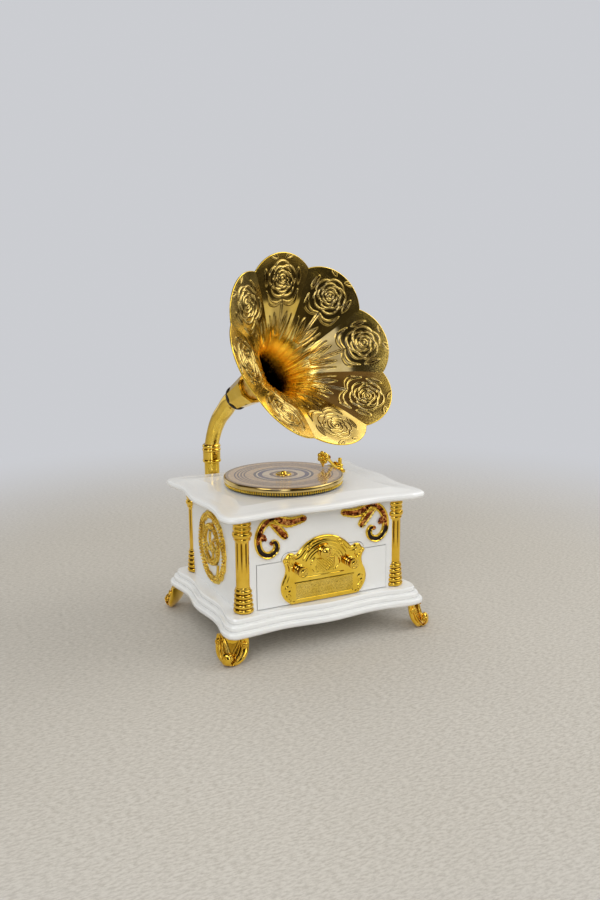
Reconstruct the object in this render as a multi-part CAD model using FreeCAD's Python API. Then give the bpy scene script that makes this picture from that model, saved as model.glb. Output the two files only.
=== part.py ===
import FreeCAD, Part
import math
import os

from FreeCAD import Vector

# Gramophone music box, in millimetres.
# +X runs to the right along the drawer front, +Y to the back, +Z up.
# The origin is on the ground under the centre of the cabinet.

# Overall levels
FOOT_HEIGHT = 15.9
PLINTH_TOP = 26.2
DECK_BOTTOM = 83.3
DECK_TOP = 88.5

# Plinth and deck share one serpentine outline
OUTLINE_HALF_X = 66.0
OUTLINE_HALF_Y = 55.2
OUTLINE_SWAY = 2.4
OUTLINE_CORNER = 6.5

# Cabinet
CABINET_HALF_X = 53.4
CABINET_HALF_Y = 43.4
WALL = 4.0
CORNER_CHAMFER = 5.8
INNER_CHAMFER = 4.0
BOSS_BOTTOM = 70.0
CASE_SCREW_LENGTH = 15.6
COLUMN_SHAFT_RADIUS = 4.25
COLUMN_AXIS_INSET = 2.15

# Shelf that carries the movement
SHELF_BOTTOM = 54.0
SHELF_TOP = 57.0

# Drawer
DRAWER_HALF = 43.0
DRAWER_BOTTOM = 26.7
DRAWER_SHOULDER = 53.5
DRAWER_TAB_TOP = 58.4
DRAWER_TAB_HALF = 22.8
DRAWER_TAB_RADIUS = 4.4
DRAWER_GAP = 0.4
DRAWER_FACE_Y = -43.7
DRAWER_FRONT_THICK = 3.8
TRAY_HALF = 41.5
TRAY_BACK_Y = 36.0
TRAY_TOP = 53.3
TRAY_WALL = 2.5
PLAQUE_THICK = 1.8
KNOB_X = 16.8
KNOB_Z = 47.6

# Turntable
TURN_X = -5.4
TURN_Y = 0.0
PLATTER_RADIUS = 37.4
PLATTER_BOTTOM = 89.4
PLATTER_TOP = 94.2
RECORD_RADIUS = 36.3
RECORD_TOP = 94.5
SPINDLE_RADIUS = 1.5
FIT = 0.05

# Movement: everything turns about one line along X
AXIS_Z = 70.0
BED_TOP = 59.2
SMALL_SCREW_RADIUS = 0.9
SMALL_SCREW_LENGTH = 5.0
MODULE = 0.5
PRESSURE_ANGLE = math.radians(25)
CROWN_TEETH = 36
PINION_TEETH = 12
DRIVE_TEETH = 32
IDLER_TEETH = 30
RATCHET_TEETH = 24
CROWN_PLANE_X = TURN_X + MODULE * PINION_TEETH / 2
CYLINDER_RADIUS = 6.5
CYLINDER_START = CROWN_PLANE_X + 4.9
CYLINDER_LENGTH = 20.0
COMB_TEETH = 18
COMB_BACK_Y = -28.0
COMB_SCREW_Y = COMB_BACK_Y + 4.5
COMB_BOTTOM = AXIS_Z - 0.5
BARREL_START = CYLINDER_START + CYLINDER_LENGTH + 0.6
BARREL_LENGTH = 15.0
BARREL_RADIUS = 10.0
RATCHET_X = BARREL_START + BARREL_LENGTH + 1.2
RATCHET_THICK = 1.6
RATCHET_RADIUS = 7.0
CLICK_Y = 12.2
CLICK_Z = AXIS_Z + 3.0
RIGHT_PLATE_X = RATCHET_X + RATCHET_THICK + 0.8
IDLER_Y = MODULE * (DRIVE_TEETH + PINION_TEETH) / 2
FAN_Y = IDLER_Y + MODULE * (IDLER_TEETH + PINION_TEETH) / 2
DRIVE_X = -13.2
IDLER_X = -17.4
FAN_X = -14.6

# Winding crank on the right side
CRANK_RADIUS = 9.0
CRANK_REST_ANGLE = math.radians(-60)
CRANK_HUB_X = 55.4
CRANK_ARM_THICK = 2.4
CRANK_KNOB_LENGTH = 9.0
CRANK_KNOB_WALL = 1.4
CRANK_PIN_RADIUS = 1.0
CRANK_FLANGE = 5.6

# Tonearm
ARM_X = 41.0
ARM_Y = 12.0
ARM_SHAFT_RADIUS = 1.3
ARM_SHAFT_TOP = 97.3
HEAD = Vector(25.2, 4.2, 101.0)
NEEDLE_TIP_Z = 94.9
LEVER_BOTTOM = 80.4
LEVER_LENGTH = 47.5
LEVER_ANGLE = 160.0

# Horn
STEM_X = -30.6
STEM_Y = 60.0
SOCKET_RADIUS = 5.0
SOCKET_BORE = 3.95
SOCKET_BOTTOM = 62.0
COLLAR_BOTTOM = 93.1
COLLAR_TOP = 105.5
STEM_RADIUS = 4.55
STEM_BEND_RADIUS = 13.0
HORN_AXIS_Z = 125.4
HORN_AZIMUTH = math.radians(-74.2)
HORN_ELEVATION = math.radians(26.3)
HORN_TURN = -47.4
PETALS = 8
PETAL_TIP = 59.2
PETAL_NOTCH = 53.65
FERRULE_START = 33.0
BELL_START = 42.0
FERRULE_END = 50.0
BELL_THICK = 1.2
# Inner face of the bell along the middle of a petal: radius and distance along the horn's axis
BELL_PROFILE = [(6.2, BELL_START), (6.9, 50.0), (9.5, 65.0), (15.0, 80.0), (23.5, 92.0), (33.5, 101.0),
                (42.5, 106.9), (50.3, 111.6), (59.1, 116.4), (66.0, 119.6)]
FACET_START = 84.0
FACET_END = 100.0
FACET_SHARE = 0.85
# Rose pressed into each petal: its middle on the bell's section, and the slope of the petal there
ROSE_RADIUS = 46.4
ROSE_PLACE = 109.3
ROSE_SLOPE = math.atan2(0.497, 0.868)
ROSE_HEIGHT = 0.5
ROSE_RINGS = [(10.4, 5, 10), (7.4, 5, 46), (4.4, 3, 20)]
ROSE_LINE = 1.1

X_AXIS = Vector(1, 0, 0)
Y_AXIS = Vector(0, 1, 0)
Z_AXIS = Vector(0, 0, 1)
CORNERS = [(-1, -1, "front_left"), (1, -1, "front_right"), (-1, 1, "rear_left"), (1, 1, "rear_right")]


def save(shape, name):
    """Write one node, after checking that it is closed."""
    shape = shape.removeSplitter()
    if not shape.isValid() or shape.Volume <= 0:
        print("PROBLEM", name, shape.isValid(), shape.Volume)
    shape.exportStep("parts/" + name + ".step")
    print(name, len(shape.Solids), round(shape.Volume, 1))


def box(x0, x1, y0, y1, z0, z1):
    return Part.makeBox(x1 - x0, y1 - y0, z1 - z0, Vector(x0, y0, z0))


def rod_x(x0, x1, y, z, radius):
    return Part.makeCylinder(radius, x1 - x0, Vector(x0, y, z), X_AXIS)


def rod_y(x, y0, y1, z, radius):
    return Part.makeCylinder(radius, y1 - y0, Vector(x, y0, z), Y_AXIS)


def rod_z(x, y, z0, z1, radius):
    return Part.makeCylinder(radius, z1 - z0, Vector(x, y, z0), Z_AXIS)


def polygon_face(points):
    return Part.Face(Part.makePolygon(points + [points[0]]))


def fuse_all(shapes):
    result = shapes[0]
    for shape in shapes[1:]:
        result = result.fuse(shape)
    return result


def turned(edges, base, axis):
    """Solid of revolution of a closed section, drawn in a plane through the axis."""
    face = Part.Face(Part.Wire(Part.__sortEdges__(edges)))
    return face.revolve(base, axis, 360)


def line(a, b):
    return Part.makeLine(a, b)


def arc(a, middle, b):
    return Part.Arc(a, middle, b).toShape()


def bead_column(axis_x, axis_y, levels):
    """Turned piece about a vertical line: levels are (z0, z1, radius, bulge), from the bottom up."""
    edges = []
    last = Vector(axis_x, axis_y, levels[0][0])
    first = last
    for z0, z1, radius, bulge in levels:
        start = Vector(axis_x + radius, axis_y, z0)
        end = Vector(axis_x + radius, axis_y, z1)
        if (start - last).Length > 1e-6:
            edges.append(line(last, start))
        if bulge:
            edges.append(arc(start, Vector(axis_x + radius + bulge, axis_y, (z0 + z1) / 2), end))
        else:
            edges.append(line(start, end))
        last = end
    top = Vector(axis_x, axis_y, levels[-1][1])
    edges.append(line(last, top))
    edges.append(line(top, first))
    return turned(edges, Vector(axis_x, axis_y, 0), Z_AXIS)


# Serpentine mouldings

def serpentine_wire(half_x, half_y, corner, z):
    """Closed outline whose sides sway in beside each corner and come out again in the middle."""
    points = []
    steps = 8
    for side in range(4):
        along_x = side % 2 == 0
        reach = (half_x if along_x else half_y) - corner
        offset = half_y if along_x else half_x
        for i in range(steps + 1):
            u = -1 + 2 * i / steps
            inward = OUTLINE_SWAY * math.sin(math.pi * u) ** 2
            points.append(turn_quarter(u * reach, -(offset - inward), side))
        middle = math.radians(-45)
        points.append(turn_quarter(reach + corner * math.cos(middle),
                                   -(offset - corner) + corner * math.sin(middle), side))
    curve = Part.BSplineCurve()
    curve.interpolate(Points=[Vector(x, y, z) for x, y in points], PeriodicFlag=True)
    return Part.Wire([curve.toShape()])


def turn_quarter(x, y, quarters):
    for _ in range(quarters):
        x, y = -y, x
    return x, y


def moulding(section):
    """Stack of ruled bands through (inset, z) pairs, closed at both ends."""
    wires = []
    for inset, z in section:
        corner = OUTLINE_CORNER - 0.4 * inset
        wires.append(serpentine_wire(OUTLINE_HALF_X - inset, OUTLINE_HALF_Y - inset, max(corner, 1.0), z))
    return Part.makeLoft(wires, True, True)


def plinth_section():
    """Three rounded steps, each smaller than the one below."""
    step_height = (PLINTH_TOP - FOOT_HEIGHT) / 3
    step_inset = 2.1
    section = []
    for step in range(3):
        z0 = FOOT_HEIGHT + step * step_height
        base = 0.9 + step * step_inset
        for angle in (-70, -25, 25, 70):
            a = math.radians(angle)
            section.append((base - 0.9 * math.cos(a), z0 + step_height * (0.5 + 0.5 * math.sin(a))))
    section[0] = (section[0][0], FOOT_HEIGHT)
    section[-1] = (section[-1][0], PLINTH_TOP)
    return section


def deck_section():
    """A rounded lip, then a shallow hollow that rises to the flat top."""
    return [(1.2, DECK_BOTTOM), (0.3, DECK_BOTTOM + 0.8), (0.0, DECK_BOTTOM + 1.9), (0.3, DECK_BOTTOM + 3.0),
            (1.3, DECK_BOTTOM + 3.7), (3.0, DECK_BOTTOM + 3.9), (7.0, DECK_BOTTOM + 4.1),
            (12.0, DECK_BOTTOM + 4.6), (17.0, DECK_TOP)]


def foot_stud(sx, sy):
    return Vector(sx * 58.5, sy * 45.7, 0)


def base_plinth():
    shape = moulding(plinth_section())
    for sx, sy, _ in CORNERS:
        centre = foot_stud(sx, sy)
        shape = shape.cut(rod_z(centre.x, centre.y, FOOT_HEIGHT - 1, FOOT_HEIGHT + 6.2, 1.55))
    for x, y in base_screw_places():
        shape = shape.cut(rod_z(x, y, FOOT_HEIGHT - 1, PLINTH_TOP + 1, 1.1))
        shape = shape.cut(rod_z(x, y, FOOT_HEIGHT - 1, FOOT_HEIGHT + 2.0, 2.3))
    save(shape, "base_plinth")


def base_screw_places():
    rail = CABINET_HALF_Y - WALL / 2
    return [(-46.2, -rail), (46.2, -rail), (-30.0, rail), (30.0, rail)]


def deck_screw_places():
    return [(sx * 46.4, sy * 30.5) for sx, sy, _ in CORNERS]


def case_screws():
    """Eight equal screws: four hold the plinth to the cabinet and four the cabinet to the deck."""
    places = [(x, y, FOOT_HEIGHT + 2.0) for x, y in base_screw_places()]
    places += [(x, y, BOSS_BOTTOM) for x, y in deck_screw_places()]
    screws = []
    for x, y, z in places:
        head = rod_z(x, y, z - 1.6, z, 2.0)
        screws.append(head.fuse(rod_z(x, y, z, z + CASE_SCREW_LENGTH, 1.0)))
    save(Part.makeCompound(screws), "case_screws")


# Feet

def corner_foot(sx, sy, name):
    """Scrolled foot: its side profile curls outward, its front view is a rounded shield."""
    rho = lambda r, z: Vector(r, 0, z)
    profile = Part.BSplineCurve()
    profile.interpolate([rho(1.9, FOOT_HEIGHT), rho(0.9, 11.6), rho(2.2, 8.8), rho(5.4, 7.9), rho(7.0, 4.9),
                         rho(5.4, 1.3), rho(2.6, 0.0)])
    inner = Part.BSplineCurve()
    inner.interpolate([rho(-1.4, 0.0), rho(-4.2, 2.4), rho(-6.4, 7.2), rho(-6.8, FOOT_HEIGHT)])
    side = Part.Wire([profile.toShape(), line(rho(2.6, 0), rho(-1.4, 0)), inner.toShape(),
                      line(rho(-6.8, FOOT_HEIGHT), rho(1.9, FOOT_HEIGHT))])
    half_width = 10.2
    body = Part.Face(side).extrude(Vector(0, 2 * half_width, 0))
    body.translate(Vector(0, -half_width, 0))
    across = lambda t, z: Vector(-20, t, z)
    left = Part.BSplineCurve()
    left.interpolate([across(-half_width, FOOT_HEIGHT + 1), across(-half_width, 11.5), across(-8.9, 5.6),
                      across(-5.2, 1.0), across(-3.4, -0.3)])
    right = Part.BSplineCurve()
    right.interpolate([across(3.4, -0.3), across(5.2, 1.0), across(8.9, 5.6), across(half_width, 11.5),
                       across(half_width, FOOT_HEIGHT + 1)])
    shield = Part.Wire([left.toShape(), line(across(-3.4, -0.3), across(3.4, -0.3)), right.toShape(),
                        line(across(half_width, FOOT_HEIGHT + 1), across(-half_width, FOOT_HEIGHT + 1))])
    body = body.common(Part.Face(shield).extrude(Vector(40, 0, 0)))
    angle = math.degrees(math.atan2(sy, sx))
    body.rotate(Vector(0, 0, 0), Z_AXIS, angle)
    body.translate(Vector(sx * 62.4, sy * 49.6, 0))
    centre = foot_stud(sx, sy)
    body = body.fuse(rod_z(centre.x, centre.y, FOOT_HEIGHT - 2, FOOT_HEIGHT + 6.0, 1.5))
    save(body, "foot_" + name)


# Cabinet

def chamfered_prism(half_x, half_y, chamfer, z0, z1):
    points = []
    for sx, sy in ((1, -1), (1, 1), (-1, 1), (-1, -1)):
        ends = [Vector(sx * (half_x - chamfer), sy * half_y, z0), Vector(sx * half_x, sy * (half_y - chamfer), z0)]
        if sx * sy > 0:
            ends.reverse()
        points.extend(ends)
    return polygon_face(points).extrude(Vector(0, 0, z1 - z0))


def drawer_profile(grow, z0):
    """Front outline of the drawer: a low rectangle with a raised middle tab and rounded shoulders."""
    half = DRAWER_HALF + grow
    shoulder = DRAWER_SHOULDER + grow
    radius = DRAWER_TAB_RADIUS + grow
    centre_z = DRAWER_TAB_TOP - DRAWER_TAB_RADIUS
    drop = math.sqrt(radius ** 2 - (shoulder - centre_z) ** 2)
    foot_x = DRAWER_TAB_HALF + drop
    top = centre_z + radius
    at = lambda x, z: Vector(x, 0, z)
    turn = math.radians(40)
    edges = [line(at(-half, z0), at(half, z0)), line(at(half, z0), at(half, shoulder)),
             line(at(half, shoulder), at(foot_x, shoulder)),
             arc(at(foot_x, shoulder),
                 at(DRAWER_TAB_HALF + radius * math.cos(turn), centre_z + radius * math.sin(turn)),
                 at(DRAWER_TAB_HALF, top)),
             line(at(DRAWER_TAB_HALF, top), at(-DRAWER_TAB_HALF, top)),
             arc(at(-DRAWER_TAB_HALF, top),
                 at(-DRAWER_TAB_HALF - radius * math.cos(turn), centre_z + radius * math.sin(turn)),
                 at(-foot_x, shoulder)),
             line(at(-foot_x, shoulder), at(-half, shoulder)), line(at(-half, shoulder), at(-half, z0))]
    return Part.Face(Part.Wire(edges))


def horn_bracket_screw_places():
    return [(STEM_X - 7.0, 66.0), (STEM_X + 7.0, 66.0), (STEM_X - 7.0, 76.0), (STEM_X + 7.0, 76.0)]


def cabinet_shell():
    shell = chamfered_prism(CABINET_HALF_X, CABINET_HALF_Y, CORNER_CHAMFER, PLINTH_TOP, DECK_BOTTOM)
    inside = chamfered_prism(CABINET_HALF_X - WALL, CABINET_HALF_Y - WALL, INNER_CHAMFER,
                             PLINTH_TOP - 1, DECK_BOTTOM + 1)
    shell = shell.cut(inside)
    mouth = drawer_profile(DRAWER_GAP, PLINTH_TOP - 1).extrude(Vector(0, 2 * WALL, 0))
    mouth.translate(Vector(0, -CABINET_HALF_Y - 1, 0))
    shell = shell.cut(mouth)
    shell = shell.cut(rod_x(CABINET_HALF_X - 2 * WALL, CABINET_HALF_X + 1, 0, AXIS_Z, 3.0))
    for x, y in base_screw_places():
        shell = shell.cut(rod_z(x, y, PLINTH_TOP - 1, PLINTH_TOP + 8.0, 1.0))
    for x, z in horn_bracket_screw_places():
        shell = shell.cut(rod_y(x, CABINET_HALF_Y - WALL - 1, CABINET_HALF_Y + 1, z, SMALL_SCREW_RADIUS))
    for x, y in deck_screw_places():
        boss = box(x - 3.0, x + 3.0, y - 3.5, y + 3.5, BOSS_BOTTOM, DECK_BOTTOM)
        shell = shell.fuse(boss).cut(rod_z(x, y, BOSS_BOTTOM - 1, DECK_BOTTOM + 1, 1.0))
    save(shell, "cabinet_shell")


def corner_column(sx, sy, name):
    """Turned pilaster whose back is cut to sit on the chamfered corner."""
    x = sx * (CABINET_HALF_X - COLUMN_AXIS_INSET - 0.9)
    y = sy * (CABINET_HALF_Y - COLUMN_AXIS_INSET - 0.9)
    levels = []
    rings = 5
    ring_height = 2.84
    for i in range(rings):
        z0 = PLINTH_TOP + i * ring_height
        levels.append((z0, z0 + ring_height, 5.3 - 0.2 * i, 0.95))
    shaft_start = PLINTH_TOP + rings * ring_height
    levels.append((shaft_start, 69.6, COLUMN_SHAFT_RADIUS, 0))
    levels.append((69.6, 71.0, 4.6, 0))
    levels.append((71.0, 75.0, 4.9, 0.9))
    for i in range(3):
        z0 = 75.0 + i * (DECK_BOTTOM - 75.0) / 3
        levels.append((z0, z0 + (DECK_BOTTOM - 75.0) / 3, 4.6 + 0.15 * i, 0.6))
    column = bead_column(x, y, levels)
    block = chamfered_prism(CABINET_HALF_X, CABINET_HALF_Y, CORNER_CHAMFER, PLINTH_TOP - 5, DECK_BOTTOM + 5)
    save(column.cut(block), "column_" + name)


def inner_shelf():
    half_x = CABINET_HALF_X - WALL - 0.1
    half_y = CABINET_HALF_Y - WALL - 0.1
    shelf = chamfered_prism(half_x, half_y, INNER_CHAMFER + 0.2, SHELF_BOTTOM, SHELF_TOP)
    for x, y in bed_screw_places():
        shelf = shelf.cut(rod_z(x, y, SHELF_BOTTOM - 1, SHELF_TOP + 1, SMALL_SCREW_RADIUS))
    save(shelf, "inner_shelf")


def drawer_runners():
    """Two side rails that carry the shelf and guide the drawer."""
    rails = []
    for s in (-1, 1):
        x0, x1 = sorted((s * (TRAY_HALF + 0.5), s * (CABINET_HALF_X - WALL - 0.1)))
        rails.append(box(x0, x1, -34.0, 34.0, PLINTH_TOP, SHELF_BOTTOM))
    save(Part.makeCompound(rails), "drawer_runners")


def top_deck():
    deck = moulding(deck_section())
    deck = deck.cut(rod_z(TURN_X, TURN_Y, DECK_BOTTOM - 1, DECK_TOP + 1, 3.0))
    deck = deck.cut(rod_z(ARM_X, ARM_Y, DECK_BOTTOM - 1, DECK_TOP + 1, 2.4))
    for x, y in deck_screw_places():
        deck = deck.cut(rod_z(x, y, DECK_BOTTOM - 1, BOSS_BOTTOM + CASE_SCREW_LENGTH, 1.0))
    save(deck, "top_deck")


# Gold ornaments on the walls

def band(centre_line, widths, y0, y1):
    """Flat strip of changing width along a smooth line in the front plane."""
    curve = Part.BSplineCurve()
    curve.interpolate([Vector(x, 0, z) for x, z in centre_line])
    shape_points = ([], [])
    count = 28
    first, last = curve.FirstParameter, curve.LastParameter
    for i in range(count + 1):
        t = first + (last - first) * i / count
        point = curve.value(t)
        tangent = curve.tangent(t)[0]
        side = Vector(-tangent.z, 0, tangent.x)
        place = i / count * (len(widths) - 1)
        k = min(int(place), len(widths) - 2)
        half = (widths[k] + (widths[k + 1] - widths[k]) * (place - k)) / 2
        shape_points[0].append(point + side * half)
        shape_points[1].append(point - side * half)
    left = Part.BSplineCurve()
    left.interpolate(shape_points[0])
    right = Part.BSplineCurve()
    right.interpolate(shape_points[1])
    wire = Part.Wire([left.toShape(), line(shape_points[0][-1], shape_points[1][-1]), right.toShape(),
                      line(shape_points[1][0], shape_points[0][0])])
    strip = Part.Face(Part.Wire(Part.__sortEdges__(wire.Edges))).extrude(Vector(0, y1 - y0, 0))
    strip.translate(Vector(0, y0, 0))
    return strip


def scroll_bracket(side, name):
    """C scroll with a curled end, an arm under the deck and one short leaf."""
    y0 = -CABINET_HALF_Y - 2.0
    y1 = -CABINET_HALF_Y
    scroll = band([(26.0, 80.0), (32.0, 79.3), (37.8, 76.6), (41.3, 71.8), (42.0, 66.8), (40.2, 62.0),
                   (36.4, 59.6), (32.4, 60.4), (30.2, 63.4), (31.2, 65.9)], [4.6, 4.6, 4.4, 4.2, 4.0, 3.8], y0, y1)
    arm = band([(34.0, 79.0), (26.0, 78.0), (19.0, 77.2), (12.6, 78.0)], [5.0, 6.2, 6.4, 4.0], y0, y1)
    leaf = band([(31.5, 78.5), (27.8, 74.6), (24.4, 69.4)], [4.6, 5.4, 3.8], y0, y1)
    curl = rod_y(32.6, y0, y1, 65.3, 2.0)
    tip = rod_y(12.6, y0, y1, 78.0, 2.0)
    shape = fuse_all([scroll, arm, leaf, curl, tip])
    if side < 0:
        shape = shape.mirror(Vector(0, 0, 0), X_AXIS)
    save(shape, name)


MEDALLION_Z = 54.0
MEDALLION_RADIUS = 24.0


def side_medallion(side, name):
    """Round pierced rosette: lobed outer ring, inner ring, curved ribs and a middle boss."""
    x0, x1 = sorted((side * CABINET_HALF_X, side * (CABINET_HALF_X + 1.6)))
    ring = rod_x(x0, x1, 0, MEDALLION_Z, MEDALLION_RADIUS - 0.7)
    lobes = 24
    for i in range(lobes):
        a = 2 * math.pi * i / lobes
        ring = ring.fuse(rod_x(x0, x1, (MEDALLION_RADIUS - 2.4) * math.cos(a),
                               MEDALLION_Z + (MEDALLION_RADIUS - 2.4) * math.sin(a), 2.4))
    ring = ring.cut(rod_x(x0 - 1, x1 + 1, 0, MEDALLION_Z, 18.0))
    inner = rod_x(x0, x1, 0, MEDALLION_Z, 14.5).cut(rod_x(x0 - 1, x1 + 1, 0, MEDALLION_Z, 9.0))
    boss = rod_x(x0, x1, 0, MEDALLION_Z, 5.5)
    ribs = []
    for i in range(8):
        rib = box(x0, x1, -1.3, 1.3, 4.5, 19.0)
        rib.rotate(Vector(0, 0, 0), X_AXIS, 45 * i)
        rib.translate(Vector(0, 0, MEDALLION_Z))
        ribs.append(rib)
    medallion = fuse_all([ring, inner, boss] + ribs)
    if side > 0:
        medallion = medallion.cut(rod_x(x0 - 1, x1 + 1, 0, AXIS_Z, CRANK_FLANGE + 0.2))
    save(medallion, name)


# Drawer

def drawer_front():
    front = drawer_profile(0.0, DRAWER_BOTTOM).extrude(Vector(0, DRAWER_FRONT_THICK, 0))
    front.translate(Vector(0, DRAWER_FACE_Y, 0))
    for s in (-1, 1):
        front = front.cut(rod_y(s * KNOB_X, DRAWER_FACE_Y - 1, DRAWER_FACE_Y + 2.4, KNOB_Z, 1.0))
    save(front, "drawer_front")


def drawer_tray():
    y0 = DRAWER_FACE_Y + DRAWER_FRONT_THICK
    tray = box(-TRAY_HALF, TRAY_HALF, y0, TRAY_BACK_Y, DRAWER_BOTTOM, TRAY_TOP)
    hollow = box(-TRAY_HALF + TRAY_WALL, TRAY_HALF - TRAY_WALL, y0 + TRAY_WALL, TRAY_BACK_Y - TRAY_WALL,
                 DRAWER_BOTTOM + TRAY_WALL, TRAY_TOP + 1)
    save(tray.cut(hollow), "drawer_tray")


def plaque_outline():
    """Arched top, two round ears, a slight waist and full lower sides."""
    at = lambda x, z: Vector(x, 0, z)
    half = [(17.3, 57.4), (19.4, 57.1), (22.2, 58.0), (24.9, 56.2), (26.2, 52.6), (25.5, 48.6), (26.6, 43.8),
            (28.2, 38.6), (28.0, 33.6), (25.6, 29.4), (21.6, 26.9)]
    right = Part.BSplineCurve()
    right.interpolate([at(x, z) for x, z in half])
    left = Part.BSplineCurve()
    left.interpolate([at(-x, z) for x, z in reversed(half)])
    top = arc(at(-17.3, 57.4), at(0, 66.4), at(17.3, 57.4))
    return Part.Wire([top, right.toShape(), line(at(21.6, 26.9), at(-21.6, 26.9)), left.toShape()])


def drawer_plaque():
    """Backplate of the knobs, with an arched moulding, a sunk panel and a rosette."""
    plate = Part.Face(plaque_outline()).extrude(Vector(0, -PLAQUE_THICK, 0))
    plate.translate(Vector(0, DRAWER_FACE_Y, 0))
    face_y = DRAWER_FACE_Y - PLAQUE_THICK
    panel = box(-19.2, 19.2, face_y - 1, face_y + 0.4, 29.4, 39.6)
    plate = plate.cut(panel)
    ridge = rod_y(0, face_y - 0.6, face_y + 0.2, 46.0, 16.6).cut(rod_y(0, face_y - 2, face_y + 2, 46.0, 15.2))
    ridge = ridge.common(box(-14.5, 14.5, face_y - 2, face_y + 2, 53.5, 70.0))
    rosette = rod_y(0, face_y - 1.2, face_y + 0.2, 55.6, 4.2)
    plate = fuse_all([plate, ridge, rosette])
    for s in (-1, 1):
        plate = plate.cut(rod_y(s * KNOB_X, face_y - 1, DRAWER_FACE_Y + 1, KNOB_Z, 1.0))
    save(plate, "drawer_plaque")


def drawer_knob(side, name):
    """Short round knob on a stud that goes through the plaque into the drawer front."""
    x = side * KNOB_X
    face_y = DRAWER_FACE_Y - PLAQUE_THICK
    at = lambda r, y: Vector(x + r, y, KNOB_Z)
    edges = [line(at(0, DRAWER_FACE_Y + 2.2), at(1.0, DRAWER_FACE_Y + 2.2)),
             line(at(1.0, DRAWER_FACE_Y + 2.2), at(1.0, face_y)), line(at(1.0, face_y), at(3.2, face_y)),
             line(at(3.2, face_y), at(3.2, face_y - 0.8)), line(at(3.2, face_y - 0.8), at(2.5, face_y - 1.4)),
             line(at(2.5, face_y - 1.4), at(2.5, face_y - 3.4)), line(at(2.5, face_y - 3.4), at(2.9, face_y - 4.0)),
             line(at(2.9, face_y - 4.0), at(2.9, face_y - 5.8)),
             arc(at(2.9, face_y - 5.8), at(1.8, face_y - 6.8), at(0.6, face_y - 7.2)),
             line(at(0.6, face_y - 7.2), at(0, face_y - 7.2)),
             line(at(0, face_y - 7.2), at(0, DRAWER_FACE_Y + 2.2))]
    save(turned(edges, Vector(x, 0, KNOB_Z), Y_AXIS), name)


# Turntable

def turntable_platter():
    platter = rod_z(TURN_X, TURN_Y, PLATTER_BOTTOM, PLATTER_TOP, PLATTER_RADIUS)
    platter = platter.cut(rod_z(TURN_X, TURN_Y, PLATTER_TOP - 0.5, PLATTER_TOP + 1, RECORD_RADIUS + 0.1))
    dots = 90
    for i in range(dots):
        a = 2 * math.pi * i / dots
        dot = rod_z(TURN_X + (PLATTER_RADIUS + 0.1) * math.cos(a), TURN_Y + (PLATTER_RADIUS + 0.1) * math.sin(a),
                    PLATTER_BOTTOM + 0.5, PLATTER_BOTTOM + 1.9, 0.45)
        platter = platter.cut(dot)
    platter = platter.cut(rod_z(TURN_X, TURN_Y, PLATTER_BOTTOM - 1, PLATTER_TOP + 1, SPINDLE_RADIUS))
    save(platter, "turntable_platter")


def record_disc():
    disc = rod_z(TURN_X, TURN_Y, PLATTER_TOP - 0.5, RECORD_TOP, RECORD_RADIUS)
    disc = disc.cut(rod_z(TURN_X, TURN_Y, PLATTER_BOTTOM, RECORD_TOP + 1, SPINDLE_RADIUS))
    save(disc, "record_disc")


def spindle_cap():
    at = lambda r, z: Vector(TURN_X + r, TURN_Y, z)
    edges = [line(at(0, RECORD_TOP + 0.6), at(SPINDLE_RADIUS, RECORD_TOP + 0.6)),
             line(at(SPINDLE_RADIUS, RECORD_TOP + 0.6), at(SPINDLE_RADIUS, RECORD_TOP)),
             line(at(SPINDLE_RADIUS, RECORD_TOP), at(5.0, RECORD_TOP)),
             line(at(5.0, RECORD_TOP), at(5.0, RECORD_TOP + 0.5)),
             arc(at(5.0, RECORD_TOP + 0.5), at(3.4, RECORD_TOP + 1.2), at(2.4, RECORD_TOP + 1.4)),
             arc(at(2.4, RECORD_TOP + 1.4), at(1.6, RECORD_TOP + 2.2), at(0.6, RECORD_TOP + 2.6)),
             line(at(0.6, RECORD_TOP + 2.6), at(0, RECORD_TOP + 2.6)),
             line(at(0, RECORD_TOP + 2.6), at(0, RECORD_TOP + 0.6))]
    save(turned(edges, Vector(TURN_X, TURN_Y, 0), Z_AXIS), "spindle_cap")


def turntable_spindle():
    """Upright shaft with a pinion under the deck; one gap of the pinion faces the crown wheel."""
    width = 2.0
    z0 = AXIS_Z + MODULE * CROWN_TEETH / 2 - width / 2
    pinion = gear_face(PINION_TEETH, 0.4, 0.6, 0.1).extrude(Vector(0, 0, width))
    pinion.rotate(Vector(0, 0, 0), Z_AXIS, 180 / PINION_TEETH)
    pinion.translate(Vector(TURN_X, TURN_Y, z0))
    spindle = rod_z(TURN_X, TURN_Y, z0 - 1.0, RECORD_TOP + 0.6, SPINDLE_RADIUS)
    save(spindle.fuse(pinion), "turntable_spindle")


def spindle_bushing():
    tube = rod_z(TURN_X, TURN_Y, 82.5, PLATTER_BOTTOM - 0.1, 3.0)
    flange = rod_z(TURN_X, TURN_Y, DECK_TOP, PLATTER_BOTTOM - 0.1, 4.6)
    bushing = tube.fuse(flange).cut(rod_z(TURN_X, TURN_Y, 80, 92, SPINDLE_RADIUS + FIT))
    save(bushing, "spindle_bushing")


# Gears

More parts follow.
